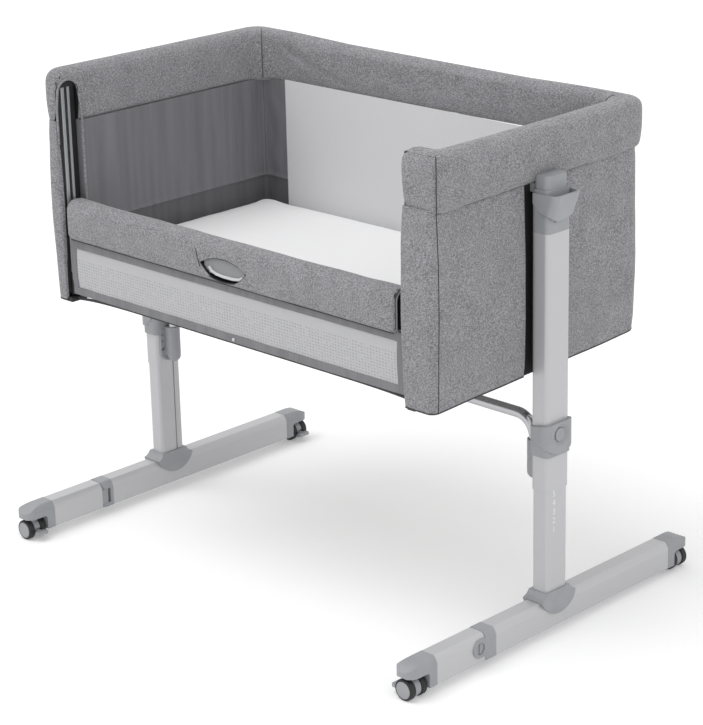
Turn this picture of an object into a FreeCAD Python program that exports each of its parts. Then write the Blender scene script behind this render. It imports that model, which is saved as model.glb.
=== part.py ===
import FreeCAD, Part
import math
import os

# Bedside sleeper crib, in millimetres.
# Origin: on the floor under the middle of the crib.
# +X runs along the crib to its right end, +Y to its closed long side, +Z up.
# The drop side, which stands against a bed, faces -Y.

Vec = FreeCAD.Vector

# ---------------------------------------------------------------- feet
foot_length = 686.0           # tip to tip, along Y
foot_width = 39.0
foot_bottom = 14.0            # floor to the underside of a foot bar
foot_height = 46.0            # underside to ridge of a foot bar
foot_shoulder = 34.0          # underside to the start of the bevelled top
foot_ridge_width = 24.0
foot_bevel_bulge = 1.2        # how far the bevels beside the ridge are rounded out
foot_wall = 1.8
cap_length = 59.0             # moulded nose beyond the end of a foot bar
cap_overlap = 0.4             # the nose stands this much proud of the bar
cap_nose_radius = 19.0
plug_length = 22.0
plug_clearance = 0.15
knuckle_front = 174.5         # fold line of the front foot, in front of the middle
knuckle_length = 24.5
fold_gap = 0.4
hinge_inset = 12.0            # fold axis, inward from the centre line of the foot
hinge_set_back = 8.5          # fold axis, behind the fold line
hinge_tongue_radius = 7.9     # rounded end of the moving tongue
hinge_tongue_low = 21.0
hinge_tongue_high = 47.0
hinge_clearance = 0.3
hinge_gap_back = 9.5          # open gap behind the tongue, on the inner side
hinge_pin_radius = 2.5
lock_plate_radius = 15.5
lock_plate_proud = 1.8
lock_dish_radius = 9.8
lock_dish_depth = 5.0
lock_button_clearance = 0.3
lock_dish_rim = 2.4
lock_travel = 1.6             # how far the fold lock button is pressed
lock_stem_radius = 2.5
lock_set_back = 13.5          # lock button, in front of the fold line
lock_height = 38.0
knuckle_flange = 1.2

# ---------------------------------------------------------------- casters
wheel_radius = 17.5
wheel_width = 12.0
wheel_gap = 12.4              # between the two wheels of a pair
hub_radius = 14.0
caster_inset = 22.0           # caster middle, in from the tip of the foot
axle_radius = 2.5
hood_radius = 15.4
hood_width = 11.4
stem_radius = 4.0
stem_length = 12.0
running_clearance = 0.05
wheel_arch = 39.0             # underside of the nose over the wheels
wheel_arch_depth = 42.0       # how far the arch runs in from the tip
brake_pivot_out = 12.0
brake_pivot_height = 15.5
brake_barrel_radius = 2.6
brake_reach = 31.0
brake_tab_width = 23.0
brake_tab_start = 21.5

# ---------------------------------------------------------------- posts
post_gap = 2.0                # between the end fabric and the post
post_depth = 54.0             # outer tube, along Y
post_width = 34.0             # outer tube, along X
post_corner = 8.0
post_wall = 1.5
slide_clearance = 0.3
leg_wall = 2.0
leg_groove_width = 3.0
leg_groove_depth = 2.4
leg_groove_offset = 9.0
base_cover_top = 73.0
base_cover_half_length = 41.0
base_cover_drop = 27.5        # how far the cover's round skirt hangs beside the bar
base_cover_wall = 3.2

head_below_band = 8.0         # top of the post's head moulding, under the band
head_length = 67.0
head_block_rise = 13.0        # how far the head block stands up into the band
head_block_corner = 9.0
head_block_inset = 3.0
arm_half_height = 7.0
arm_half_width = 20.0
lever_sphere = 44.0           # radius that cuts the lever's shield shape
lever_wall = 2.6
lever_lip = 19.0              # how far the lever's lip stands out of the post
lever_pivot_drop = 47.0       # lever pivot, below the top of the head
lever_barrel_radius = 3.0
lever_side_gap = 0.8
lever_wrap = 28.0             # how far the lever's sides reach round the head

adjuster_below_tube = 50.0    # bottom of the collar, below the cross tube
adjuster_height = 46.0
adjuster_wall = 3.0
adjuster_slope = 8.5          # how much higher the collar stands at its outer face
adjuster_shield_proud = 3.0
adjuster_sphere = 43.5        # radius that cuts the collar's round shield
height_button_radius = 11.0
height_button_rise = 33.5     # button, above the bottom of the collar
height_button_travel = 2.0
height_button_thickness = 1.6
height_dish_radius = 17.5
height_stem_radius = 3.0

cross_tube_radius = 9.0
cross_tube_wall = 1.2
cross_tube_below_base = 95.0
cross_tube_bend = 35.0
bracket_below_collar = 52.0
bracket_below_top = 6.0       # top of the bracket, below the top of the collar
post_below_collar = 58.0
leg_above_collar = 57.0       # leg tube inside the post, above the collar
bracket_half_width = 22.0
bracket_plate = 4.0
bracket_wall = 3.0
bracket_hole_offset = 17.0
bracket_socket_rise = 26.0    # foot of the cross tube, above the foot of the bracket
bracket_hole_rise = 25.0
bracket_hole_radius = 3.2
bracket_pin_rise = 40.0
bracket_pin_pitch = 12.0
bracket_pin_radius = 1.8
bolt_low_rise = 21.0
bolt_high_rise = 50.0
bolt_head_height = 3.0
bolt_socket_depth = 1.8
bolt_head_radius = 4.5

# ---------------------------------------------------------------- bassinet
body_half_length = 438.0
body_front = -244.0
body_back = 246.0
skirt_below_base = 13.0       # lower edge of the fabric, below the base tube
end_wall = 36.0               # outer fabric to the sleeping space, at each end
back_wall = 25.0              # outer fabric to the sleeping space, at the back
lining_corner = 12.0
left_upright = 29.0           # width of the left front upright
right_upright = 65.0
upright_depth = 47.0
front_corner = 12.0
back_corner = 45.0
skirt_thickness = 4.0
recess_half_width = 39.0      # shallow recess in the end fabric behind the post
recess_depth = 2.5
recess_above_hem = 12.0
band_top = 820.0
band_height = 85.0
band_proud = 8.0              # padded band beyond the skirt
band_round = 14.0
lining_thickness = 3.0
rim_radius = 9.5
rim_below_band = 18.0         # top rail, below the top of the band
frame_inset = 17.0            # frame tubes, in from the end fabric
rim_back_inset = 12.0
base_back_inset = 14.5
frame_wall = 1.2
frame_bend = 60.0
base_height = 447.0
base_bend = 45.0
soft_clearance = 0.5
seat_gap = 0.3                # between a soft or flat piece and the tube that it rests on
board_thickness = 3.0
mattress_thickness = 60.0
mattress_gap = 3.0
board_end_inset = 6.0         # board, in from the middle of the base tube
board_back_inset = 20.0
board_corner = 20.0
mattress_corner = 32.0
hem_thickness = 3.0
hem_rise = 17.0               # top of the hem, above the base tube
lining_rise = 15.0

# ---------------------------------------------------------------- drop side
rail_top = 606.0
rail_height = 70.0
rail_inset = 22.0             # the rail, its guides and the mesh, behind the front
rail_tube_drop = 15.0
rail_left_gap = 1.5
rail_right_gap = 14.0
rail_thickness = 42.0
rail_tube_radius = 8.0
track_depth = 22.0            # guide extrusion, along X
track_width = 18.0            # guide extrusion, along Y
track_wall = 2.0
track_slot = 6.0
track_rise = 14.0             # foot of a guide, above the base tube
track_below_rim = 7.0
track_mouth_gap = 3.0         # guide mouth, beyond the edge of the opening
track_end_wall = 2.0
track_cup_overlap = 6.0
track_cup_length = 20.0
tongue_rise = 12.0            # tongue, above the bottom of the rail
tongue_height = 30.0
tongue_clearance = 0.3
slider_half_width = 10.0
slider_inset = 6.0
grip_centre = -14.5
grip_half_length = 53.0
grip_opening_rise = 4.0
grip_opening_height = 36.0
grip_pocket_depth = 26.0
grip_travel = 7.0
mesh_thickness = 2.0
mesh_side_gap = 3.0

foot_x = body_half_length + post_gap + post_width / 2
body_bottom = base_height - skirt_below_base
lining_bottom = base_height + lining_rise
hem_top = base_height + hem_rise
band_bottom = band_top - band_height
rim_height = band_top - rim_below_band
inner_half_length = body_half_length - end_wall
inner_back = body_back - back_wall
opening_left = left_upright - body_half_length
opening_right = body_half_length - right_upright
upright_back = body_front + upright_depth
frame_half_length = body_half_length - frame_inset
frame_back = body_back - rim_back_inset
base_back = body_back - base_back_inset
board_half_length = frame_half_length - board_end_inset
board_back = body_back - board_back_inset
rail_plane = body_front + rail_inset
rail_bottom = rail_top - rail_height
rail_left = opening_left + rail_left_gap
rail_right = opening_right - rail_right_gap
rail_tube_height = rail_top - rail_tube_drop
rail_travel = band_top - 1 - rail_top
track_bottom = base_height + track_rise
track_top = rim_height - track_below_rim
tongue_bottom = rail_bottom + tongue_rise
tongue_top = tongue_bottom + tongue_height
grip_opening_bottom = rail_bottom + grip_opening_rise
grip_opening_top = grip_opening_bottom + grip_opening_height
head_top = band_bottom - head_below_band
head_block_top = band_bottom + head_block_rise
arm_bottom = head_top - arm_half_height
arm_top = head_top + arm_half_height
lever_pivot_height = head_top - lever_pivot_drop
post_top = head_top - head_length
cross_tube_height = base_height - cross_tube_below_base
adjuster_bottom = cross_tube_height - adjuster_below_tube
adjuster_top = adjuster_bottom + adjuster_height
height_button_height = adjuster_bottom + height_button_rise
bracket_bottom = adjuster_bottom - bracket_below_collar
bracket_top = adjuster_top - bracket_below_top
post_bottom = adjuster_bottom - post_below_collar
leg_top = adjuster_top + leg_above_collar
foot_tip = foot_length / 2
bar_end = foot_tip - cap_length
foot_top = foot_bottom + foot_height
hinge_x = foot_x - hinge_inset
hinge_y = -knuckle_front + hinge_set_back
caster_y = foot_tip - caster_inset
board_top = base_height + rim_radius + seat_gap + board_thickness
mattress_top = board_top + mattress_thickness
leg_width = post_width - 2 * (post_wall + slide_clearance)
leg_depth = post_depth - 2 * (post_wall + slide_clearance)
hem_face = rail_plane - rim_radius - seat_gap - hem_thickness
post_outer = foot_x + post_width / 2
post_inner = foot_x - post_width / 2
far = 2 * body_half_length    # beyond every piece, for boxes that cut


# ---------------------------------------------------------------- helpers
def box(x_range, y_range, z_range):
    """Box between two values on each axis."""
    size = [high - low for low, high in (x_range, y_range, z_range)]
    corner = Vec(x_range[0], y_range[0], z_range[0])
    return Part.makeBox(size[0], size[1], size[2], corner)


def rod(radius, start, end):
    """Solid cylinder between two points."""
    axis = end.sub(start)
    return Part.makeCylinder(radius, axis.Length, start, axis)


def rod_y(radius, x, y_range, z):
    """Solid cylinder along Y."""
    return rod(radius, Vec(x, y_range[0], z), Vec(x, y_range[1], z))


def mirror_x(shape):
    """The same piece on the other end of the crib."""
    return shape.mirror(Vec(0, 0, 0), Vec(1, 0, 0))


def mirror_y(shape):
    """The same piece at the other tip of a foot."""
    return shape.mirror(Vec(0, 0, 0), Vec(0, 1, 0))


def fused(shapes):
    """One solid from touching pieces."""
    result = shapes[0].multiFuse(shapes[1:]) if len(shapes) > 1 else shapes[0]
    return result.removeSplitter()


def rounded_outline(x_range, y_range, radii, z):
    """Closed wire of a rectangle, radii in order left front, right front, right back, left back."""
    x0, x1 = x_range
    y0, y1 = y_range
    corners = [Vec(x0, y0, z), Vec(x1, y0, z), Vec(x1, y1, z), Vec(x0, y1, z)]
    edges = []
    starts = []
    ends = []
    for index, corner in enumerate(corners):
        before = corners[index - 1].sub(corner).normalize()
        after = corners[(index + 1) % 4].sub(corner).normalize()
        radius = radii[index]
        starts.append(corner + before * radius)
        ends.append(corner + after * radius)
    for index, corner in enumerate(corners):
        radius = radii[index]
        inward = (corners[index - 1].sub(corner).normalize()
                  + corners[(index + 1) % 4].sub(corner).normalize())
        middle = corner + inward * (radius * (1 - math.sqrt(0.5)))
        edges.append(Part.Arc(starts[index], middle, ends[index]).toShape())
        following = starts[(index + 1) % 4]
        edges.append(Part.LineSegment(ends[index], following).toShape())
    return Part.Wire(edges)


def prism(wire, height):
    """Closed flat wire raised along Z."""
    return Part.Face(wire).extrude(Vec(0, 0, height))


def rounded_block(x_range, y_range, z_range, radius):
    """Upright block with four rounded corners."""
    wire = rounded_outline(x_range, y_range, [radius] * 4, z_range[0])
    return prism(wire, z_range[1] - z_range[0])


def post_section(grow, z, outward=0.0):
    """Rounded section of the right post, grown on every side, and more on its outer face."""
    x_range = (post_inner - grow, post_outer + grow + outward)
    y_range = (-post_depth / 2 - grow, post_depth / 2 + grow)
    return rounded_outline(x_range, y_range, [post_corner + grow] * 4, z)


def bent_path(points, bend):
    """Straight runs joined by tangent arcs of one radius."""
    edges = []
    last = points[0]
    for before, corner, after in zip(points, points[1:], points[2:]):
        to_before = before.sub(corner).normalize()
        to_after = after.sub(corner).normalize()
        half_turn = to_before.getAngle(to_after) / 2
        reach = bend / math.tan(half_turn)
        middle_reach = bend / math.sin(half_turn) - bend
        inward = (to_before + to_after).normalize()
        start = corner + to_before * reach
        end = corner + to_after * reach
        edges.append(Part.LineSegment(last, start).toShape())
        edges.append(Part.Arc(start, corner + inward * middle_reach, end).toShape())
        last = end
    edges.append(Part.LineSegment(last, points[-1]).toShape())
    return Part.Wire(edges)


def pipe(path, radius):
    """Solid round bar along a path."""
    start = path.Edges[0].valueAt(path.Edges[0].FirstParameter)
    direction = path.Edges[0].tangentAt(path.Edges[0].FirstParameter)
    circle = Part.Wire([Part.makeCircle(radius, start, direction)])
    return path.makePipeShell([circle], True, False)


def bent_tube(points, bend, radius, wall):
    """Hollow round tube along bent runs."""
    path = bent_path(points, bend)
    return pipe(path, radius).cut(pipe(path, radius - wall))


# ---------------------------------------------------------------- foot bars
def bar_section(inset, y):
    """Foot bar outline in the XZ plane: flat sides and a bevelled, arched top."""
    half = foot_width / 2 - inset
    ridge = foot_ridge_width / 2 - inset / 2
    bottom = foot_bottom + inset
    top = foot_top - inset
    shoulder = foot_bottom + foot_shoulder
    slope_x = (half + ridge) / 2 + foot_bevel_bulge * 0.87
    slope_z = (shoulder + top) / 2 + foot_bevel_bulge * 0.5

    def at(x, z):
        return Vec(foot_x + x, y, z)

    edges = [
        Part.LineSegment(at(-half, bottom), at(half, bottom)).toShape(),
        Part.LineSegment(at(half, bottom), at(half, shoulder)).toShape(),
        Part.Arc(at(half, shoulder), at(slope_x, slope_z), at(ridge, top)).toShape(),
        Part.LineSegment(at(ridge, top), at(-ridge, top)).toShape(),
        Part.Arc(at(-ridge, top), at(-slope_x, slope_z), at(-half, shoulder)).toShape(),
        Part.LineSegment(at(-half, shoulder), at(-half, bottom)).toShape(),
    ]
    return Part.Wire(edges)


def bar_solid(inset, y_range):
    """Foot bar outline run along Y."""
    face = Part.Face(bar_section(inset, y_range[0]))
    return face.extrude(Vec(0, y_range[1] - y_range[0], 0))


def bar_tube(y_range):
    """Hollow length of foot bar."""
    return bar_solid(0, y_range).cut(bar_solid(foot_wall, y_range))


def bar_plug(y_range):
    """Moulding that fills the inside of a foot bar."""
    return bar_solid(foot_wall + plug_clearance, y_range)


def lock_centre():
    """Middle of the fold lock, on the centre plane of the foot."""
    return Vec(foot_x, -knuckle_front - lock_set_back, lock_height)


def lock_hole(radius):
    """Round hole through the outer wall of the front foot, where the fold lock sits."""
    return rod(radius, lock_centre(), lock_centre() + Vec(foot_width, 0, 0))


def front_bar():
    """Front foot bar, which folds inward."""
    bar = bar_tube((-bar_end, -knuckle_front - fold_gap / 2 - knuckle_flange))
    return bar.cut(lock_hole(lock_dish_radius + lock_dish_rim + plug_clearance))


def rear_bar():
    """Fixed foot bar under the post, from the fold line to the rear cap."""
    return bar_tube((-knuckle_front + knuckle_length, bar_end))


def hinge_column(radius, z_range):
    """Upright cylinder about the fold axis."""
    foot = Vec(hinge_x, hinge_y, 0)
    return rod(radius, foot + Vec(0, 0, z_range[0]), foot + Vec(0, 0, z_range[1]))


def tongue_room():
    """Recess that the moving tongue turns in, open to the front and to the inner side."""
    clear = hinge_clearance
    z_range = (hinge_tongue_low - clear, hinge_tongue_high + clear)
    reach = hinge_tongue_radius + clear
    room = hinge_column(reach, z_range)
    room = room.fuse(box((hinge_x - foot_width, hinge_x + reach), (hinge_y - foot_width, hinge_y), z_range))
    return room.fuse(box((hinge_x - foot_width, hinge_x), (hinge_y - 1, hinge_y + hinge_gap_back), z_range))


def swept_corner():
    """Inner front corner of the fixed end, which the folding end face sweeps."""
    z_range = (0, 2 * foot_top)
    corner = box((hinge_x - foot_width, hinge_x), (hinge_y - foot_width, hinge_y), z_range)
    return corner.cut(hinge_column(hinge_set_back - hinge_clearance, z_range))


def rear_knuckle():
    """Fixed half of the fold joint: collar with two lugs, hinge pin, and a plug in the rear bar."""
    back = -knuckle_front + knuckle_length
    collar = bar_solid(-cap_overlap, (-knuckle_front + fold_gap / 2, back))
    collar = collar.cut(tongue_room()).cut(swept_corner())
    pin = hinge_column(hinge_pin_radius, (foot_bottom + 2, foot_top - 12))
    return fused([collar, bar_plug((back, back + plug_length)), pin])


def front_knuckle():
    """Moving half of the fold joint: plug in the front bar, flange, tongue and round lock plate."""
    face = -knuckle_front - fold_gap / 2
    flange = bar_solid(0, (face - knuckle_flange, face))
    plug = bar_plug((face - knuckle_flange - plug_length, face - knuckle_flange))
    tongue_z = (hinge_tongue_low, hinge_tongue_high)
    tongue = hinge_column(hinge_tongue_radius, tongue_z)
    tongue_x = (hinge_x - foot_width, hinge_x + hinge_tongue_radius)
    tongue = tongue.fuse(box(tongue_x, (face - 1, hinge_y), tongue_z))
    tongue = tongue.common(bar_solid(0, (face - 1, 0)))
    centre = lock_centre()
    outer_face = Vec(foot_width / 2, 0, 0)
    proud = Vec(foot_width / 2 + lock_plate_proud, 0, 0)
    plate = rod(lock_plate_radius, centre + outer_face, centre + proud)
    plate = plate.fuse(box((centre.x + outer_face.x, centre.x + proud.x), (centre.y, face),
                           (lock_height - lock_plate_radius, lock_height + lock_plate_radius)))
    boss = rod(lock_dish_radius + lock_dish_rim, centre, centre + proud)
    in_front = box((foot_x - foot_width, foot_x + foot_width), (-foot_tip, face), (0, 2 * foot_top))
    body = fused([flange, plug, tongue, plate.common(in_front), boss.common(in_front)])
    dish_floor = Vec(foot_width / 2 + lock_plate_proud - lock_dish_depth, 0, 0)
    body = body.cut(rod(lock_dish_radius, centre + dish_floor, centre + proud * 1.1))
    stem_room = dish_floor - Vec(lock_travel + 0.5, 0, 0)
    body = body.cut(rod(lock_stem_radius + 0.3, centre + stem_room, centre + proud))
    return body.cut(hinge_column(hinge_pin_radius + running_clearance, (0, 2 * foot_top)))


def lock_button():
    """Fold lock button with a raised finger bar, in its dish."""
    centre = lock_centre()
    floor = foot_width / 2 + lock_plate_proud - lock_dish_depth
    back = Vec(floor + lock_travel + 0.3, 0, 0)
    disc = rod(lock_dish_radius - lock_button_clearance, centre + back, centre + back + Vec(1.4, 0, 0))
    bar_x = (foot_x + back.x + 1.4, foot_x + back.x + 3.2)
    finger = box(bar_x, (centre.y - 1.6, centre.y + 1.6), (centre.z - 8, centre.z + 8))
    stem = rod(lock_stem_radius, centre + Vec(floor + 0.3, 0, 0), centre + back)
    return fused([disc, finger, stem])


def foot_cap():
    """Front right nose: the bar's section drawn down to a rounded tip over the wheels."""
    tip = -foot_tip
    proud = cap_overlap
    low = foot_bottom - proud
    high = foot_top + proud
    arch_back = tip + wheel_arch_depth
    top_start = tip + 42
    edges = []

    def at(y, z):
        return Vec(foot_x - foot_width, y, z)

    corners = [at(-bar_end, low), at(arch_back, low), at(arch_back, wheel_arch - 5)]
    edges += [Part.LineSegment(a, b).toShape() for a, b in zip(corners, corners[1:])]
    edges.append(Part.Arc(corners[-1], at(arch_back - 1.5, wheel_arch - 1.5),
                          at(arch_back - 5, wheel_arch)).toShape())
    nose = [at(arch_back - 5, wheel_arch), at(tip + 2, wheel_arch), at(tip, wheel_arch + 3),
            at(tip, wheel_arch + 10)]
    edges += [Part.LineSegment(a, b).toShape() for a, b in zip(nose, nose[1:])]
    edges.append(Part.Arc(nose[-1], at(tip + 19, high - 2.6), at(top_start, high)).toShape())
    edges.append(Part.LineSegment(at(top_start, high), at(-bar_end, high)).toShape())
    edges.append(Part.LineSegment(at(-bar_end, high), at(-bar_end, low)).toShape())
    side = Part.Face(Part.Wire(edges)).extrude(Vec(2 * foot_width, 0, 0))
    half = foot_width / 2 + proud
    plan = rounded_outline((foot_x - half, foot_x + half), (tip, -bar_end),
                           [cap_nose_radius, cap_nose_radius, 0.2, 0.2], 0)
    body = side.common(bar_solid(-proud, (tip, -bar_end)))
    body = body.common(prism(plan, 2 * foot_top))
    hollow_y = (arch_back + 3, -bar_end + 1)
    body = body.cut(bar_solid(4, hollow_y))
    body = body.fuse(bar_plug((-bar_end - 0.01, -bar_end + plug_length)).cut(
        bar_solid(foot_wall + 3, (-bar_end - 1, -bar_end + plug_length + 1))))
    stem_hole = Vec(foot_x, -caster_y, wheel_arch - 1)
    return body.cut(rod(stem_radius + 0.1, stem_hole, stem_hole + Vec(0, 0, stem_length + 2)))


# ---------------------------------------------------------------- casters
def caster_bracket():
    """Round hood between the two wheels, with its stem in the nose above."""
    centre_y = -caster_y
    y_range = (centre_y - hood_width / 2, centre_y + hood_width / 2)
    disc = rod_y(hood_radius, foot_x, y_range, wheel_radius)
    neck = box((foot_x - 7, foot_x + 7), y_range, (wheel_radius + 10, wheel_arch))
    stem_foot = Vec(foot_x, centre_y, wheel_arch - 0.01)
    stem = rod(stem_radius, stem_foot, stem_foot + Vec(0, 0, stem_length))
    body = fused([disc, neck, stem])
    through_y = (y_range[0] - 1, y_range[1] + 1)
    body = body.cut(rod_y(axle_radius + running_clearance, foot_x, through_y, wheel_radius))
    pivot_x = foot_x - brake_pivot_out
    seat = rod_y(brake_barrel_radius + slide_clearance, pivot_x, through_y, brake_pivot_height)
    mouth = box((pivot_x - 20, pivot_x), through_y,
                (brake_pivot_height - 9, brake_pivot_height + 4.5))
    return body.cut(seat).cut(mouth)


def wheel(outer_sign):
    """One wheel: a rounded tyre with a shallow dish for its hub disc."""
    inner = outer_sign * wheel_gap / 2
    outer = outer_sign * (wheel_gap / 2 + wheel_width)
    centre_y = -caster_y
    round_off = 2.5
    r = wheel_radius

    def at(radius, y):
        return Vec(foot_x, centre_y + y, wheel_radius + radius)

    step = outer_sign * round_off
    dish = outer_sign * 1.0
    points = [at(axle_radius, inner), at(r - round_off, inner)]
    shoulder_in = Part.Arc(points[1], at(r - round_off * 0.3, inner + step * 0.3), at(r, inner + step))
    shoulder_out = Part.Arc(at(r, outer - step), at(r - round_off * 0.3, outer - step * 0.3),
                            at(r - round_off, outer))
    edges = [
        Part.LineSegment(points[0], points[1]).toShape(),
        shoulder_in.toShape(),
        Part.LineSegment(at(r, inner + step), at(r, outer - step)).toShape(),
        shoulder_out.toShape(),
        Part.LineSegment(at(r - round_off, outer), at(hub_radius, outer)).toShape(),
        Part.LineSegment(at(hub_radius, outer), at(hub_radius, outer - dish)).toShape(),
        Part.LineSegment(at(hub_radius, outer - dish), at(axle_radius, outer - dish)).toShape(),
        Part.LineSegment(at(axle_radius, outer - dish), points[0]).toShape(),
    ]
    face = Part.Face(Part.Wire(edges))
    return face.revolve(Vec(foot_x, centre_y, wheel_radius), Vec(0, 1, 0), 360)


def hub_disc(outer_sign):
    """Flat disc that closes a wheel's outer face."""
    outer = outer_sign * (wheel_gap / 2 + wheel_width)
    y_pair = sorted([-caster_y + outer - outer_sign * 1.0, -caster_y + outer + outer_sign * 0.6])
    disc = rod_y(hub_radius - 0.2, foot_x, y_pair, wheel_radius)
    outer_edges = [edge for edge in disc.Edges
                   if abs(edge.BoundBox.Center.y - (-caster_y + outer + outer_sign * 0.6)) < 0.05
                   and edge.BoundBox.YLength < 0.01]
    return disc.makeChamfer(0.5, outer_edges)


def wheel_pair():
    """Twin wheels with their hub discs on one axle."""
    reach = wheel_gap / 2 + wheel_width - 1.0
    axle = rod_y(axle_radius, foot_x, (-caster_y - reach, -caster_y + reach), wheel_radius)
    return Part.makeCompound([wheel(-1), wheel(1), hub_disc(-1), hub_disc(1), axle])


def brake_lever():
    """Foot brake tab, toward the middle of the crib."""
    pivot_x = foot_x - brake_pivot_out
    neck_half = hood_width / 2 - 1.0
    y_range = (-caster_y - neck_half, -caster_y + neck_half)
    barrel = rod_y(brake_barrel_radius, pivot_x, y_range, brake_pivot_height)
    neck_z = (brake_pivot_height - 2.4, brake_pivot_height + 1.6)
    neck = box((foot_x - brake_tab_start - 1, pivot_x), y_range, neck_z)
    tab_y = (-caster_y - brake_tab_width / 2, -caster_y + brake_tab_width / 2)
    tab = rounded_block((foot_x - brake_reach, foot_x - brake_tab_start), tab_y,
                        (brake_pivot_height - 3.6, brake_pivot_height + 1.6), 3.0)
    return fused([barrel, neck, tab])


# ---------------------------------------------------------------- legs
def leg_tube():
    """Inner tube of the telescopic leg, with the guide groove in its inner face."""
    half_x = leg_width / 2
    half_y = leg_depth / 2
    radius = post_corner - post_wall - slide_clearance
    outer = rounded_block((foot_x - half_x, foot_x + half_x), (-half_y, half_y), (foot_top, leg_top), radius)
    inner = rounded_block((foot_x - half_x + leg_wall, foot_x + half_x - leg_wall),
                          (-half_y + leg_wall, half_y - leg_wall), (foot_top - 1, leg_top + 1),
                          radius - leg_wall)
    tube = outer.cut(inner)
    groove_y = (leg_groove_offset - leg_groove_width / 2, leg_groove_offset + leg_groove_width / 2)
    wall_y = (groove_y[0] - leg_wall, groove_y[1] + leg_wall)
    inner_face = foot_x - half_x
    channel = box((inner_face + 1, inner_face + leg_groove_depth + leg_wall), wall_y, (foot_top, leg_top))
    groove = box((inner_face - 1, inner_face + leg_groove_depth), groove_y, (foot_top - 1, leg_top + 1))
    return tube.fuse(channel).removeSplitter().cut(groove)


def base_cover():
    """Saddle moulding that joins the leg tube to the foot bar."""
    wall = base_cover_wall
    half_top = leg_depth / 2 + wall
    shoulder = foot_top + 2
    length = base_cover_half_length
    skirt_bottom = shoulder - base_cover_drop
    x_face = foot_x - foot_width

    def at(y, z):
        return Vec(x_face, y, z)

    waist = half_top + 3.5
    waist_z = shoulder + 4.5
    edges = [
        Part.LineSegment(at(-half_top, base_cover_top), at(half_top, base_cover_top)).toShape(),
        Part.Arc(at(half_top, base_cover_top), at(waist, waist_z), at(length, shoulder)).toShape(),
        Part.Arc(at(length, shoulder), at(0, skirt_bottom), at(-length, shoulder)).toShape(),
        Part.Arc(at(-length, shoulder), at(-waist, waist_z), at(-half_top, base_cover_top)).toShape(),
    ]
    side = Part.Face(Part.Wire(edges)).extrude(Vec(2 * foot_width, 0, 0))
    half_low = foot_width / 2 + wall
    half_high = leg_width / 2 + wall
    end_points = [Vec(foot_x - half_low, -foot_tip, 0), Vec(foot_x + half_low, -foot_tip, 0),
                  Vec(foot_x + half_low, -foot_tip, foot_bottom + foot_shoulder),
                  Vec(foot_x + half_high, -foot_tip, base_cover_top + 1),
                  Vec(foot_x - half_high, -foot_tip, base_cover_top + 1),
                  Vec(foot_x - half_low, -foot_tip, foot_bottom + foot_shoulder)]
    end = Part.Face(Part.makePolygon(end_points + end_points[:1])).extrude(Vec(0, foot_length, 0))
    cover = side.common(end)
    cover = cover.cut(bar_solid(-0.1, (-foot_tip, foot_tip)))
    half_x = leg_width / 2 + 0.1
    half_y = leg_depth / 2 + 0.1
    radius = post_corner - post_wall - slide_clearance
    bore = rounded_block((foot_x - half_x, foot_x + half_x), (-half_y, half_y),
                         (foot_top - 8, base_cover_top + 2), radius)
    return cover.cut(bore)


# ---------------------------------------------------------------- posts
def outer_post():
    """Outer tube of the telescopic leg, fixed to the bassinet."""
    height = post_top - post_bottom
    outer = prism(post_section(0, post_bottom), height)
    inner = prism(post_section(-post_wall, post_bottom - 1), height + 2)
    button = Vec(foot_x, 0, height_button_height)
    return outer.cut(inner).cut(rod(height_stem_radius + 0.3, button, button + Vec(post_width, 0, 0)))


def post_head():
    """Head moulding: tube plug, neck, and the arm that holds the top rail through the fabric."""
    plug = prism(post_section(-post_wall - plug_clearance, post_top - plug_length), plug_length)
    head = prism(post_section(0, post_top), head_top - post_top)
    inset = head_block_inset
    block = rounded_block((post_inner + 1, post_outer - inset),
                          (-post_depth / 2 + inset, post_depth / 2 - inset),
                          (head_top - 0.01, head_block_top), head_block_corner)
    arm_y = (-arm_half_width, arm_half_width)
    reach_x = (frame_half_length - rim_radius - 2, post_inner + 6)
    arm = box(reach_x, arm_y, (arm_bottom, arm_top))
    column_x = (frame_half_length - rim_radius - 2, frame_half_length + rim_radius + 1)
    column = box(column_x, (-arm_half_width + 4, arm_half_width - 4), (arm_top - 0.01, rim_height + 2))
    column = column.cut(rod_y(rim_radius + 0.05, frame_half_length, (-30, 30), rim_height))
    body = fused([plug, head, block, arm, column])
    pivot_x = post_outer - 2.0
    seat = rod_y(lever_barrel_radius + slide_clearance, pivot_x, (-13.5, 13.5), lever_pivot_height)
    mouth = box((pivot_x, pivot_x + 10), (-13.5, 13.5),
                (lever_pivot_height - 2, lever_pivot_height + lever_barrel_radius + 3))
    return body.cut(seat).cut(mouth)


def shield_ball(radius, z):
    """Ball whose meeting with a collar gives the round shield outline."""
    return Part.makeSphere(radius, Vec(post_outer, 0, z))


def flared_prism(grow, z_low, z_high, outward):
    """Post section that flares out on the outer face toward its top."""
    low = post_section(grow, z_low)
    high = post_section(grow, z_high, outward)
    return Part.makeLoft([low, high], True, True)


def release_lever():
    """Scooped lever round the head: shield outline, open top and turned-out lip."""
    z_low = head_top - 5 - lever_sphere
    z_high = head_top - 5
    gap = lever_side_gap
    outer = flared_prism(gap + lever_wall, z_low, z_high, lever_lip - lever_wall)
    pocket = flared_prism(gap, z_low, z_high + 0.01, lever_lip - 2 * lever_wall)
    shell = outer.cut(pocket)
    shell = shell.common(shield_ball(lever_sphere, z_high))
    outside = box((post_outer - lever_wrap, post_outer + 100), (-100, 100), (0, head_block_top))
    shell = shell.common(outside)
    pivot_x = post_outer - 2.0
    barrel = rod_y(lever_barrel_radius, pivot_x, (-12.5, 12.5), lever_pivot_height)
    web = box((pivot_x, post_outer + lever_wall), (-12.5, 12.5),
              (lever_pivot_height - 1.2, lever_pivot_height + 1.6))
    return fused([shell, barrel, web])


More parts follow.
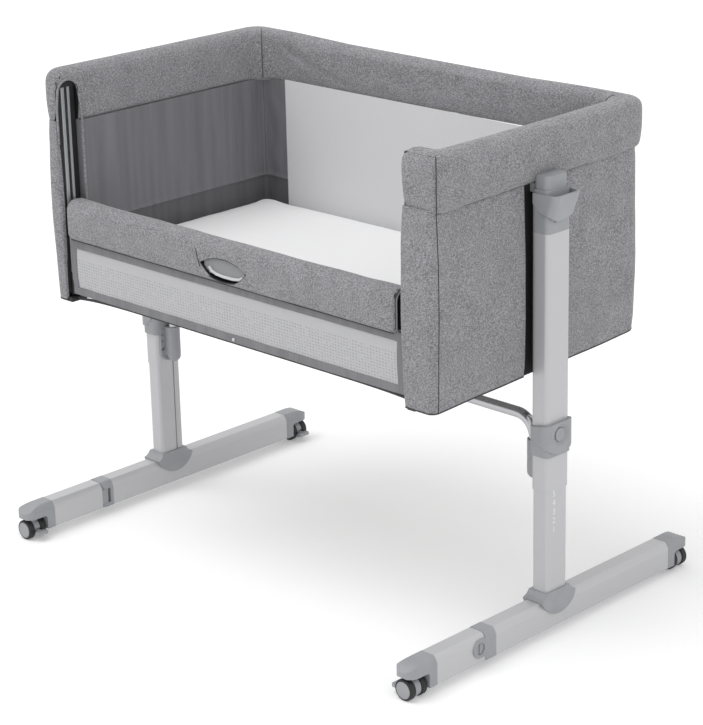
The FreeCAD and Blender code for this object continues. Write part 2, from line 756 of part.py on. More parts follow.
def above_slope(low_x, high_x):
    """Everything above a plane that climbs outward across the collar."""
    high_z = adjuster_top + adjuster_slope
    corners = [Vec(low_x, -post_depth, adjuster_top), Vec(high_x, -post_depth, high_z),
               Vec(high_x, -post_depth, 2 * high_z), Vec(low_x, -post_depth, 2 * high_z)]
    face = Part.Face(Part.makePolygon(corners + corners[:1]))
    return face.extrude(Vec(0, 2 * post_depth, 0))


def adjuster_housing():
    """Collar at the foot of the outer tube, with a raised round shield and a button dish."""
    proud = adjuster_wall + adjuster_shield_proud
    height = adjuster_top + adjuster_slope - adjuster_bottom
    collar = prism(post_section(adjuster_wall, adjuster_bottom), height)
    shield = prism(post_section(proud, adjuster_bottom), height)
    outward = box((foot_x - post_width / 4, foot_x + post_width), (-post_depth, post_depth),
                  (0, 2 * adjuster_top))
    shield = shield.common(shield_ball(adjuster_sphere, adjuster_top)).common(outward)
    body = fused([collar, shield])
    body = body.cut(above_slope(post_inner - proud, post_outer + proud))
    body = body.cut(prism(post_section(0.02, adjuster_bottom - 1), height + 2))
    centre = Vec(post_outer, 0, height_button_height)
    well = height_button_radius + 0.4
    dish = Part.makeCone(well, height_dish_radius, proud - 2, centre + Vec(2, 0, 0), Vec(1, 0, 0))
    return body.cut(dish).cut(rod(well, centre, centre + Vec(proud, 0, 0)))


def height_button():
    """Round height button in its dish."""
    centre = Vec(post_outer, 0, height_button_height)
    back = height_button_travel + 0.3
    disc_face = back + height_button_thickness
    disc = rod(height_button_radius, centre + Vec(back, 0, 0), centre + Vec(disc_face, 0, 0))
    top_edges = [edge for edge in disc.Edges
                 if abs(edge.BoundBox.Center.x - post_outer - disc_face) < 0.05
                 and edge.BoundBox.XLength < 0.01]
    disc = disc.makeFillet(0.8, top_edges)
    stem = rod(height_stem_radius, centre + Vec(0.7, 0, 0), centre + Vec(back + 0.1, 0, 0))
    return fused([disc, stem])


def cross_tube():
    """Tube under the bassinet that ties the two posts and turns down into their brackets."""
    drop_x = post_inner - bracket_plate - cross_tube_radius - 1
    foot_z = bracket_bottom + bracket_socket_rise
    points = [Vec(-drop_x, 0, foot_z), Vec(-drop_x, 0, cross_tube_height),
              Vec(drop_x, 0, cross_tube_height), Vec(drop_x, 0, foot_z)]
    return bent_tube(points, cross_tube_bend, cross_tube_radius, cross_tube_wall)


def inner_bracket():
    """Round-bottomed bracket on the inner face of the right post, holding the cross tube."""
    drop_x = post_inner - bracket_plate - cross_tube_radius - 1
    half = bracket_half_width
    bottom = bracket_bottom + half

    def at(y, z):
        return Vec(post_inner, y, z)

    edges = [
        Part.LineSegment(at(-half, bottom), at(-half, bracket_top)).toShape(),
        Part.LineSegment(at(-half, bracket_top), at(half, bracket_top)).toShape(),
        Part.LineSegment(at(half, bracket_top), at(half, bottom)).toShape(),
        Part.Arc(at(half, bottom), at(0, bracket_bottom), at(-half, bottom)).toShape(),
    ]
    plate = Part.Face(Part.Wire(edges)).extrude(Vec(-bracket_plate, 0, 0))
    boss_radius = cross_tube_radius + bracket_wall
    boss_foot = Vec(drop_x, 0, bracket_bottom + boss_radius)
    boss_top = cross_tube_height - cross_tube_bend - 1
    boss = rod(boss_radius, boss_foot, Vec(drop_x, 0, boss_top))
    ball = Part.makeSphere(boss_radius, boss_foot)
    web = box((drop_x, post_inner), (-boss_radius, boss_radius), (boss_foot.z, boss_top))
    body = fused([plate, boss, ball, web])
    hole = Vec(post_inner, -bracket_hole_offset, bracket_bottom + bracket_hole_rise)
    through = Vec(-2 * bracket_plate, 0, 0)
    body = body.cut(rod(bracket_hole_radius, hole, hole + through))
    for step in range(3):
        pin_z = bracket_bottom + bracket_pin_rise + step * bracket_pin_pitch
        pin = Vec(post_inner, -bracket_hole_offset, pin_z)
        body = body.cut(rod(bracket_pin_radius, pin, pin + through))
    keep = box((drop_x - 30, post_inner), (-half, half), (bracket_bottom, bracket_top))
    body = body.common(keep)
    body = body.cut(prism(post_section(0.02, bracket_bottom - 1), bracket_top - bracket_bottom + 2))
    collar = prism(post_section(adjuster_wall + 0.1, adjuster_bottom), adjuster_top - adjuster_bottom)
    body = body.cut(collar)
    socket_foot = Vec(drop_x, 0, bracket_bottom + bracket_socket_rise)
    socket_top = Vec(drop_x, 0, bracket_top + 1)
    return body.cut(rod(cross_tube_radius + 0.05, socket_foot, socket_top))


def bracket_bolts():
    """Two bolt heads on each inner bracket."""
    bolts = []
    for rise in (bolt_low_rise, bolt_high_rise):
        face = Vec(post_inner - bracket_plate, bracket_hole_offset, bracket_bottom + rise)
        top = face + Vec(-bolt_head_height, 0, 0)
        head = rod(bolt_head_radius, face, top)
        socket = rod(bolt_head_radius * 0.5, top + Vec(bolt_socket_depth, 0, 0), top + Vec(-1, 0, 0))
        bolts.append(head.cut(socket))
    return bolts + [mirror_x(bolt) for bolt in bolts]


# ---------------------------------------------------------------- bassinet frame
def rim_path():
    """Centre line of the top rail, from the right front upright round the back."""
    x = frame_half_length
    front = upright_back - track_cup_overlap
    points = [Vec(x, front, rim_height), Vec(x, frame_back, rim_height),
              Vec(-x, frame_back, rim_height), Vec(-x, front, rim_height)]
    return bent_path(points, frame_bend)


def base_path():
    """Closed centre line of the base loop, from the middle of its front run."""
    x = frame_half_length
    middle = Vec(0, rail_plane, base_height)
    points = [middle, Vec(x, rail_plane, base_height), Vec(x, base_back, base_height),
              Vec(-x, base_back, base_height), Vec(-x, rail_plane, base_height), middle]
    return bent_path(points, base_bend)


def rim_tube():
    """Steel top rail round three sides, hidden in the padded band."""
    return pipe(rim_path(), rim_radius).cut(pipe(rim_path(), rim_radius - frame_wall))


def base_frame():
    """Closed loop of tube under the mattress board, with two cross bars."""
    inner = pipe(base_path(), rim_radius - frame_wall)
    loop = pipe(base_path(), rim_radius).cut(inner)
    bar_radius = rim_radius * 0.8
    for bar_x in (-frame_half_length / 3, frame_half_length / 3):
        y_range = (rail_plane + 1, base_back - 1)
        outer = rod_y(bar_radius, bar_x, y_range, base_height).cut(inner)
        bore = rod_y(bar_radius - frame_wall, bar_x, y_range, base_height)
        loop = loop.fuse(outer.cut(bore))
    return loop


def guide_section(mouth_x, into):
    """Guide extrusion in plan: a box channel with a slot toward the drop side's opening."""
    x_range = sorted([mouth_x, mouth_x + into * track_depth])
    y_range = (rail_plane - track_width / 2, rail_plane + track_width / 2)
    z_range = (track_bottom, track_top)
    channel = rounded_block(x_range, y_range, z_range, 1.5)
    inside = box((x_range[0] + track_wall, x_range[1] - track_wall),
                 (y_range[0] + track_wall, y_range[1] - track_wall), (track_bottom - 1, track_top + 1))
    slot_x = sorted([mouth_x - into, mouth_x + into * 3 * track_wall])
    slot = box(slot_x, (rail_plane - track_slot / 2, rail_plane + track_slot / 2),
               (track_bottom - 1, track_top + 1))
    return channel.cut(inside).cut(slot)


def guide_mouths():
    """Mouth face and inward direction of the left and right guides."""
    return (opening_left - track_mouth_gap, -1), (opening_right + track_mouth_gap, 1)


def guide_tracks():
    """The two aluminium guides of the drop rail."""
    return Part.makeCompound([guide_section(mouth, into) for mouth, into in guide_mouths()])


def track_foot(mouth_x, into):
    """Black corner moulding under a guide, clamped on the base tube."""
    x_range = sorted([mouth_x - into * 1.5, mouth_x + into * track_depth])
    y_range = (rail_plane - track_width / 2 - 1, rail_plane + track_width / 2 + 4)
    body = rounded_block(x_range, y_range, (body_bottom + 1, track_bottom + 14), 4.0)
    seat_x = sorted([mouth_x - 0.2 * into, mouth_x + into * (track_depth + 0.2)])
    seat_y = (rail_plane - track_width / 2 - 0.2, rail_plane + track_width / 2 + 0.2)
    body = body.cut(box(seat_x, seat_y, (track_bottom, track_bottom + 20)))
    slot_x = sorted([mouth_x - into * 4, mouth_x + into])
    body = body.cut(box(slot_x, (rail_plane - track_slot / 2 - 1, rail_plane + track_slot / 2 + 1),
                        (track_bottom, track_bottom + 20)))
    return body.cut(pipe(base_path(), rim_radius + 0.1))


def track_head_boxes(mouth_x, into, grow):
    """Block over the top of a guide, and the cup that holds the top rail, both grown."""
    cup_half = rim_radius + track_end_wall + grow
    rail_x = into * frame_half_length
    far_side = max(abs(mouth_x) + track_depth, frame_half_length + rim_radius + track_end_wall) + grow
    z_range = (track_top - grow, rim_height + rim_radius + track_end_wall + 1 + grow)
    half_width = track_width / 2 + track_end_wall + grow
    block = box(sorted([mouth_x - into * grow, into * far_side]),
                (rail_plane - half_width, upright_back - 1.5 + grow), z_range)
    cup_front = upright_back - track_cup_overlap
    cup = box((rail_x - cup_half, rail_x + cup_half),
              (cup_front - grow, cup_front + track_cup_length + grow), z_range)
    return [block, cup]


def track_head(mouth_x, into):
    """Moulding that ties the top of a guide to the top rail."""
    body = fused(track_head_boxes(mouth_x, into, 0))
    rail_end = (upright_back - track_cup_overlap, 0)
    return body.cut(rod_y(rim_radius + 0.1, into * frame_half_length, rail_end, rim_height))


def track_ends():
    """Bottom and top mouldings of both guides."""
    parts = []
    for mouth, into in guide_mouths():
        parts.append(track_foot(mouth, into))
        parts.append(track_head(mouth, into))
    return Part.makeCompound(parts)


def mattress_board():
    """Stiff board that carries the mattress."""
    low = board_top - board_thickness
    return rounded_block((-board_half_length, board_half_length), (rail_plane + rim_radius + 6, board_back),
                         (low, board_top), board_corner)


def mattress():
    """Mattress with drawn-in lower edges and a crowned top."""
    layers = []
    for share, inset in ((0, 5), (0.22, 0.5), (0.72, 0), (0.93, 6), (1, 20)):
        x = inner_half_length - mattress_gap - inset
        y_range = (upright_back + lining_thickness + mattress_gap + inset, inner_back - mattress_gap - inset)
        z = board_top + share * mattress_thickness
        radii = [mattress_corner - inset] * 4
        layers.append(rounded_outline((-x, x), y_range, radii, z))
    return Part.makeLoft(layers, True, False)


# ---------------------------------------------------------------- fabric shell
def body_outline(grow, z):
    """Outer plan of the bassinet, grown all round."""
    x = body_half_length + grow
    radii = [front_corner + grow, front_corner + grow, back_corner + grow, back_corner + grow]
    return rounded_outline((-x, x), (body_front - min(grow, 0), body_back + grow), radii, z)


def skirt_ring(z_range):
    """Fabric skirt all round, before the openings are cut."""
    height = z_range[1] - z_range[0]
    outer = prism(body_outline(0, z_range[0]), height)
    x = body_half_length - skirt_thickness
    radii = [front_corner - skirt_thickness] * 2 + [back_corner - skirt_thickness] * 2
    inner = prism(rounded_outline((-x, x), (body_front + skirt_thickness, body_back - skirt_thickness),
                                  radii, z_range[0] - 1), height + 2)
    return outer.cut(inner)


def end_panel(side):
    """Outer fabric of one end with its rounded back corner and the flap over the front upright."""
    ring = skirt_ring((body_bottom, band_bottom))
    split = body_half_length - back_corner
    if side > 0:
        keep = box((opening_right, far), (body_front - 1, upright_back), (0, far))
        keep = keep.fuse(box((split, far), (upright_back, far), (0, far)))
    else:
        keep = box((-far, opening_left), (body_front - 1, upright_back), (0, far))
        keep = keep.fuse(box((-far, -split), (upright_back, far), (0, far)))
    panel = ring.common(keep)
    notch_x = sorted([side * (body_half_length - 20), side * (body_half_length + 5)])
    notch = box(notch_x, (-arm_half_width - 4, arm_half_width + 4), (arm_bottom - 2, band_bottom + 1))
    recess_x = sorted([side * (body_half_length - recess_depth), side * (body_half_length + 5)])
    recess = box(recess_x, (-recess_half_width, recess_half_width),
                 (body_bottom + recess_above_hem, band_bottom + 1))
    return panel.cut(notch).cut(recess)


def back_panel():
    """Low fabric skirt along the back, below the mesh window."""
    ring = skirt_ring((body_bottom, mattress_top + 4))
    split = body_half_length - back_corner
    return ring.common(box((-split, split), (0, far), (0, far)))


def end_linings():
    """Inner fabric of both ends; the right one also closes the back of its upright."""
    z_range = (lining_bottom, band_bottom)
    x_pair = (inner_half_length, inner_half_length + lining_thickness)
    left = box((-x_pair[1], -x_pair[0]), (upright_back, inner_back + lining_thickness), z_range)
    right = box(x_pair, (upright_back, inner_back + lining_thickness), z_range)
    return_y = (upright_back, upright_back + lining_thickness)
    inner_return = box((opening_right + 2, x_pair[1]), return_y, z_range)
    return Part.makeCompound([left, fused([right, inner_return])])


def back_mesh():
    """See-through mesh along the closed long side."""
    x = inner_half_length - 0.5
    return box((-x, x), (inner_back, inner_back + lining_thickness), (lining_bottom, band_bottom))


def top_band():
    """Padded band round three sides and over the two front uprights."""
    height = band_top - band_bottom
    outer = prism(body_outline(band_proud, band_bottom), height)
    x = inner_half_length
    inner = prism(rounded_outline((-x, x), (body_front - 50, inner_back),
                                  [1, 1, lining_corner, lining_corner], band_bottom - 1), height + 2)
    gate_z = (band_bottom - 1, band_top + 1)
    gate = box((opening_left, opening_right), (body_front - 50, upright_back), gate_z)
    right_x = (opening_right, inner_half_length + 1)
    right_upright = box(right_x, (body_front, upright_back), (band_bottom, band_top))
    left_gate = box((opening_left, -inner_half_length + 1), (body_front - 50, upright_back), gate_z)
    ring = outer.cut(inner).fuse(right_upright).cut(gate).cut(left_gate)
    ring = ring.removeSplitter()
    top_edges = [edge for edge in ring.Edges
                 if edge.BoundBox.ZLength < 0.01 and abs(edge.BoundBox.ZMin - band_top) < 0.01]
    ring = ring.makeFillet(band_round, top_edges)
    return ring.cut(band_cavity())


def band_cavity():
    """Room inside the band for the top rail, the guides' heads and the posts' arms."""
    clear = soft_clearance
    rooms = [pipe(rim_path(), rim_radius + clear)]
    for mouth_x, into in guide_mouths():
        rooms += track_head_boxes(mouth_x, into, clear)
        x_pair = sorted([mouth_x - into * 30, mouth_x + into * (track_depth + clear)])
        rooms.append(box(x_pair, (rail_plane - track_width / 2 - 9, rail_plane + track_width / 2 + 9),
                         (band_bottom - 1, track_top)))
        plate_x = sorted([mouth_x - into * 30, mouth_x])
        rooms.append(box(plate_x, (rail_plane - slider_half_width - 1, rail_plane + slider_half_width + 1),
                         (band_bottom - 1, rail_top - slider_inset + rail_travel + 2)))
    column_x = (frame_half_length - rim_radius - 2 - clear, frame_half_length + rim_radius + 1 + clear)
    column = box(column_x, (-arm_half_width + 4 - clear, arm_half_width - 4 + clear),
                 (band_bottom - 1, rim_height + 2 + clear))
    block = box((post_inner, post_outer + 5), (-post_depth / 2, post_depth / 2),
                (band_bottom - 1, head_block_top + clear))
    for room in (column, block):
        rooms.append(room)
        rooms.append(mirror_x(room))
    return rooms[0].multiFuse(rooms[1:])


def front_hem():
    """Fabric border over the base tube below the drop side's mesh."""
    gap = mesh_side_gap
    return box((opening_left + gap, opening_right - gap), (hem_face, hem_face + hem_thickness),
               (base_height - rim_radius, hem_top))


# ---------------------------------------------------------------- drop side
def rail_tube():
    """Tube inside the drop rail."""
    x_range = (rail_left + 12, rail_right - 12)
    outer = rod(rail_tube_radius, Vec(x_range[0], rail_plane, rail_tube_height),
                Vec(x_range[1], rail_plane, rail_tube_height))
    inner = rod(rail_tube_radius - frame_wall, Vec(x_range[0], rail_plane, rail_tube_height),
                Vec(x_range[1], rail_plane, rail_tube_height))
    return outer.cut(inner)


def almond(y_range, grow):
    """Almond outline of the grip opening, run along Y."""
    half = grip_half_length + grow
    middle = (grip_opening_bottom + grip_opening_top) / 2 + 5
    left = Vec(grip_centre - half, y_range[0], middle)
    right = Vec(grip_centre + half, y_range[0], middle)
    top = Vec(grip_centre, y_range[0], grip_opening_top + grow)
    low = grip_opening_bottom - grow
    bottom_left = Vec(grip_centre - half * 0.62, y_range[0], low + 4)
    bottom = Vec(grip_centre, y_range[0], low)
    bottom_right = Vec(grip_centre + half * 0.62, y_range[0], low + 4)
    edges = [
        Part.Arc(left, top, right).toShape(),
        Part.LineSegment(right, bottom_right).toShape(),
        Part.Arc(bottom_right, bottom, bottom_left).toShape(),
        Part.LineSegment(bottom_left, left).toShape(),
    ]
    return Part.Face(Part.Wire(edges)).extrude(Vec(0, y_range[1] - y_range[0], 0))


def rail_section(grow, x):
    """Padded rail outline in the YZ plane."""
    half = rail_thickness / 2 + grow
    low = rail_bottom - grow
    high = rail_top + grow
    top_round = half * 0.8
    low_round = half * 0.45

    def at(y, z):
        return Vec(x, rail_plane + y, z)

    def corner(y_sign, z, z_sign, radius):
        centre_y = y_sign * (half - radius)
        centre_z = z - z_sign * radius
        diagonal = radius * math.sqrt(0.5)
        return (at(y_sign * half, centre_z), at(centre_y + y_sign * diagonal, centre_z + z_sign * diagonal),
                at(centre_y, z))

    back_low = corner(1, low, -1, low_round)
    back_high = corner(1, high, 1, top_round)
    front_high = corner(-1, high, 1, top_round)
    front_low = corner(-1, low, -1, low_round)
    edges = [
        Part.Arc(back_low[2], back_low[1], back_low[0]).toShape(),
        Part.LineSegment(back_low[0], back_high[0]).toShape(),
        Part.Arc(back_high[0], back_high[1], back_high[2]).toShape(),
        Part.LineSegment(back_high[2], front_high[2]).toShape(),
        Part.Arc(front_high[2], front_high[1], front_high[0]).toShape(),
        Part.LineSegment(front_high[0], front_low[0]).toShape(),
        Part.Arc(front_low[0], front_low[1], front_low[2]).toShape(),
        Part.LineSegment(front_low[2], back_low[2]).toShape(),
    ]
    return Part.Wire(edges)


def grip_pocket(grow):
    """Space behind the grip opening: the almond mouth and the wider pocket behind it."""
    front = rail_plane - rail_thickness / 2
    mouth = almond((front - 2, front + grip_pocket_depth + grow), grow)
    slot = box((grip_centre - grip_half_length * 0.92 - grow, grip_centre + grip_half_length * 0.92 + grow),
               (front + 3 - grow, front + 9.5 + grow),
               (grip_opening_bottom + 10, grip_opening_top + 7.5 + grow))
    return mouth.fuse(slot)


def rail_pad():
    """Padded sleeve of the drop rail with its grip pocket."""
    length = rail_right - rail_left
    pad = Part.Face(rail_section(0, rail_left)).extrude(Vec(length, 0, 0))
    bore = rod(rail_tube_radius + soft_clearance, Vec(rail_left - 1, rail_plane, rail_tube_height),
               Vec(rail_right + 1, rail_plane, rail_tube_height))
    pad = pad.cut(bore)
    pad = pad.cut(grip_pocket(1.6 + soft_clearance))
    for x_range in ((rail_left - 1, rail_left + 12.2), (rail_right - 12.2, rail_right + 1)):
        half_width = slider_half_width + 0.2
        pad = pad.cut(box(x_range, (rail_plane - half_width, rail_plane + half_width),
                          (tongue_bottom - slider_inset - 0.2, rail_top - slider_inset + 0.2)))
    return pad


def grip_frame():
    """Moulded liner of the grip pocket."""
    return grip_pocket(1.6).cut(grip_pocket(0)).cut(
        box((-far, far), (-far, rail_plane - rail_thickness / 2 + 0.5), (0, far)))


def rail_grip():
    """Squeeze grip in the rail: a shallow scooped bar that lifts to free the rail."""
    front = rail_plane - rail_thickness / 2
    half = grip_half_length * 0.9
    lift = grip_travel
    low = grip_opening_bottom + 8
    high = grip_opening_top + 7 - lift
    plate = box((grip_centre - half, grip_centre + half), (front + 4, front + 6.5), (low + 4, high))
    lip = box((grip_centre - half * 0.8, grip_centre + half * 0.8), (front + 4, front + 18), (low, low + 4.5))
    vertical = [edge for edge in lip.Edges if edge.BoundBox.ZLength > 4]
    lip = lip.makeFillet(1.2, vertical)
    keep = almond((front, front + 30), -0.6)
    keep = keep.fuse(keep.translated(Vec(0, 0, 7)))
    return fused([plate, lip]).common(keep)


def rail_slider(mouth_x, into, pad_end):
    """End fitting of the rail: tube plug, end plate and the tongue that rides in the guide."""
    plate_x = sorted([pad_end - into * 12, mouth_x - into * 0.8])
    plate = box(plate_x, (rail_plane - slider_half_width, rail_plane + slider_half_width),
                (tongue_bottom - slider_inset, rail_top - slider_inset))
    plate = plate.makeFillet(6.0, [edge for edge in plate.Edges if edge.BoundBox.XLength > 4])
    bore = rod(rail_tube_radius - frame_wall - 0.1, Vec(pad_end - into * 30, rail_plane, rail_tube_height),
               Vec(pad_end - into * 11, rail_plane, rail_tube_height))
    neck_x = sorted([mouth_x - into * 1.5, mouth_x + into * (track_wall + 2)])
    neck_half = track_slot / 2 - tongue_clearance
    neck = box(neck_x, (rail_plane - neck_half, rail_plane + neck_half), (tongue_bottom, tongue_top))
    head_x = sorted([mouth_x + into * (track_wall + tongue_clearance),
                     mouth_x + into * (track_depth - track_wall - tongue_clearance)])
    head_half = track_width / 2 - track_wall - tongue_clearance
    head = box(head_x, (rail_plane - head_half, rail_plane + head_half), (tongue_bottom, tongue_top))
    return fused([plate, bore, neck, head])


def rail_sliders():
    """Both end fittings."""
    left, right = guide_mouths()
    return Part.makeCompound([rail_slider(left[0], left[1], rail_left),
                              rail_slider(right[0], right[1], rail_right)])


def drop_mesh():
    """Mesh between the drop rail and the front hem."""
    x_range = (opening_left + mesh_side_gap, opening_right - mesh_side_gap)
    y_range = (hem_face + hem_thickness - mesh_thickness, hem_face + hem_thickness)
    return box(x_range, y_range, (hem_top + seat_gap, rail_bottom - seat_gap))


# ---------------------------------------------------------------- export
def feet_and_legs():
    """Every piece of the right leg and foot, by plain name."""
    return {
        "leg_tube": leg_tube(),
        "base_cover": base_cover(),
        "rear_foot_bar": rear_bar(),
        "rear_foot_cap": mirror_y(foot_cap()),
        "fold_hinge": rear_knuckle(),
        "rear_caster_bracket": mirror_y(caster_bracket()),
        "rear_wheels": mirror_y(wheel_pair()),
        "rear_brake_lever": mirror_y(brake_lever()),
        "front_foot_bar": front_bar(),
        "front_foot_cap": foot_cap(),
        "front_knuckle": front_knuckle(),
        "fold_lock_button": lock_button(),
        "front_caster_bracket": caster_bracket(),
        "front_wheels": wheel_pair(),
        "front_brake_lever": brake_lever(),
        "post_tube": outer_post(),
        "release_lever": release_lever(),
        "height_button": height_button(),
    }


def both_ends(shape):
    """The right-hand piece and its mirror image as one group."""
    return Part.makeCompound([shape, mirror_x(shape)])


def bassinet():
    """Pieces of the bassinet and the drop side, by plain name."""
    return {
        "post_heads": both_ends(post_head()),
        "adjuster_housings": both_ends(adjuster_housing()),
        "inner_brackets": both_ends(inner_bracket()),
        "bracket_bolts": Part.makeCompound(bracket_bolts()),
        "cross_tube": cross_tube(),
        "rim_tube": rim_tube(),
        "base_frame": base_frame(),
        "guide_tracks": guide_tracks(),
        "track_ends": track_ends(),
        "mattress_board": mattress_board(),
        "mattress": mattress(),
        "top_band": top_band(),
        "end_panel_left": end_panel(-1),
        "end_panel_right": end_panel(1),
        "back_panel": back_panel(),
        "end_linings": end_linings(),
        "back_mesh": back_mesh(),
        "front_hem": front_hem(),
        "rail_tube": rail_tube(),
        "rail_pad": rail_pad(),
        "rail_sliders": rail_sliders(),
        "grip_frame": grip_frame(),
        "rail_grip": rail_grip(),
        "drop_mesh": drop_mesh(),
    }


def main():
    """Write one STEP file per piece."""
    os.makedirs("parts", exist_ok=True)
    pieces = dict(bassinet())
    for name, shape in feet_and_legs().items():
        pieces[name + "_right"] = shape
        pieces[name + "_left"] = mirror_x(shape)
    for name, shape in pieces.items():
        shape.exportStep(os.path.join("parts", name + ".step"))
        solids = len(shape.Solids)
        print(name, solids, "valid" if shape.isValid() else "INVALID", round(shape.Volume / 1000, 2), "cm3")


main()
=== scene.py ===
"""Bedside sleeper crib: fabric, mattress, finishes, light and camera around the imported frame.

Lengths and places are in metres unless a note says otherwise, and heights are above the floor.
"""

import logging
import math
from dataclasses import dataclass, field
from enum import Enum
from typing import Callable, Iterable, Sequence

import bmesh
import bpy
from mathutils import Matrix, Vector, noise
from mathutils.geometry import tessellate_polygon

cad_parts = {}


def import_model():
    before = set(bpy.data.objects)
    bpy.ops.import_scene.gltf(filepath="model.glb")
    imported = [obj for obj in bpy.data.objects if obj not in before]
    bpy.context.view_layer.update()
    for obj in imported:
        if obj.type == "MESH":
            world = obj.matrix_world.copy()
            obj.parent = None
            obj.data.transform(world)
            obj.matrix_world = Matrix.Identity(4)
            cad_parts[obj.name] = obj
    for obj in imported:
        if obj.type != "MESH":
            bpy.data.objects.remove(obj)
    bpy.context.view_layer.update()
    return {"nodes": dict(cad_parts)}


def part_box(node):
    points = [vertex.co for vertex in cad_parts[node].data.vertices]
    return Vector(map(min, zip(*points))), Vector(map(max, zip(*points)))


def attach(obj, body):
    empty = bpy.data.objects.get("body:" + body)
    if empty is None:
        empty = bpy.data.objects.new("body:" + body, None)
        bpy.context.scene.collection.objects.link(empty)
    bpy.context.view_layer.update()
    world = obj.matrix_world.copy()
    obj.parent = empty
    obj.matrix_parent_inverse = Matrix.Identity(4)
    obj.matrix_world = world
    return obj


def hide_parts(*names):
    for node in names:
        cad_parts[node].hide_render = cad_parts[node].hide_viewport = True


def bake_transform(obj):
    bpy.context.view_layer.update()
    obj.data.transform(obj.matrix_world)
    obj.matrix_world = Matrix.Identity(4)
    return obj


Material = bpy.types.Material
Piece = bpy.types.Object
Socket = bpy.types.NodeSocket
Colour = tuple[float, float, float]

LOG = logging.getLogger("crib")


class Body(str, Enum):
    """Bodies of the frame that pieces of this scene ride on."""

    BASSINET = "bassinet"
    DROP_RAIL = "drop_rail"
    RAIL_GRIP = "rail_grip"
    LEG_RIGHT = "leg_right"
    LEG_LEFT = "leg_left"


class End(Enum):
    """The two ends of the crib, by the sign of X."""

    RIGHT = 1
    LEFT = -1

    @property
    def word(self) -> str:
        """Lower-case name of the end, as the frame's nodes use it."""
        return self.name.lower()


# -------------------- shader helper
@dataclass
class Shader:
    """A material's node tree while it is being put together.

    Args:
        name: Name of the material.
    """

    name: str
    material: Material = field(init=False)

    def __post_init__(self) -> None:
        """Start an empty node tree with its output and one surface shader."""
        self.material = bpy.data.materials.new(self.name)
        self.material.use_nodes = True
        self.tree = self.material.node_tree
        self.tree.nodes.clear()
        self.output = self.node("ShaderNodeOutputMaterial")
        self.surface = self.node("ShaderNodeBsdfPrincipled")
        self.link(self.surface.outputs[0], self.output.inputs[0])

    def node(self, kind: str, **settings: object) -> bpy.types.Node:
        """Add a node and set its plain properties.

        Args:
            kind: Type name of the node.
            **settings: Properties of the node and their values.

        Returns:
            The new node.
        """
        made = self.tree.nodes.new(kind)
        for key, value in settings.items():
            setattr(made, key, value)
        return made

    def link(self, source: Socket, target: Socket) -> None:
        """Join two sockets."""
        self.tree.links.new(source, target)

    def set(self, **values: object) -> None:
        """Set sockets of the surface shader; an underscore in a name stands for a space."""
        for key, value in values.items():
            self.surface.inputs[key.replace("_", " ")].default_value = value

    def place(self, scale: Sequence[float]) -> Socket:
        """Object coordinates, stretched by a scale on each axis.

        Args:
            scale: Cycles per metre on X, Y and Z.

        Returns:
            The stretched coordinates.
        """
        where = self.node("ShaderNodeTexCoord")
        stretch = self.node("ShaderNodeMapping")
        stretch.inputs["Scale"].default_value = scale
        self.link(where.outputs["Object"], stretch.inputs["Vector"])
        return stretch.outputs["Vector"]

    def grain(self, scale: Sequence[float], detail: float = 2.0) -> Socket:
        """Soft random grain.

        Args:
            scale: Grains per metre on each axis.
            detail: Octaves of the grain.

        Returns:
            A value that averages one half.
        """
        cloud = self.node("ShaderNodeTexNoise")
        cloud.inputs["Scale"].default_value = 1.0
        cloud.inputs["Detail"].default_value = detail
        self.link(self.place(scale), cloud.inputs["Vector"])
        return cloud.outputs["Fac"]

    def calc(self, operation: str, first: object, second: object = 0.0) -> Socket:
        """One step of arithmetic on sockets or numbers.

        Args:
            operation: Name of the math operation.
            first: Socket or number.
            second: Socket or number.

        Returns:
            The result's socket.
        """
        step = self.node("ShaderNodeMath", operation=operation)
        for slot_index, value in enumerate((first, second)):
            if isinstance(value, Socket):
                self.link(value, step.inputs[slot_index])
            else:
                step.inputs[slot_index].default_value = value
        return step.outputs[0]

    def tones(self, value: Socket,
              stops: Sequence[tuple[float, Sequence[float]]]) -> Socket:
        """Colours along a value.

        Args:
            value: The value that picks the colour.
            stops: Pairs of position and linear colour.

        Returns:
            The colour's socket.
        """
        ramp = self.node("ShaderNodeValToRGB")
        elements = ramp.color_ramp.elements
        while len(elements) < len(stops):
            elements.new(0.5)
        for element, (position, colour) in zip(elements, stops):
            element.position = position
            element.color = (*colour, 1.0)
        self.link(value, ramp.inputs["Fac"])
        return ramp.outputs["Color"]

    def bump(self, height: Socket, strength: float, distance: float) -> None:
        """Raise the surface by a height pattern.

        Args:
            height: The pattern.
            strength: Share of the bump that shows.
            distance: Height of the bump.
        """
        raised = self.node("ShaderNodeBump")
        raised.inputs["Strength"].default_value = strength
        raised.inputs["Distance"].default_value = distance
        self.link(height, raised.inputs["Height"])
        self.link(raised.outputs["Normal"], self.surface.inputs["Normal"])

    def colour(self, source: Socket) -> None:
        """Feed the base colour."""
        self.link(source, self.surface.inputs["Base Color"])


def shaded(colour: Colour, share: float) -> Colour:
    """A colour made lighter or darker by a share."""
    return tuple(min(channel * share, 1.0) for channel in colour)


# -------------------- finishes
@dataclass(frozen=True)
class Finish:
    """Any finish of the crib.

    Args:
        name: Name of the material.
        tone: Mean linear colour.
    """

    name: str
    tone: Colour


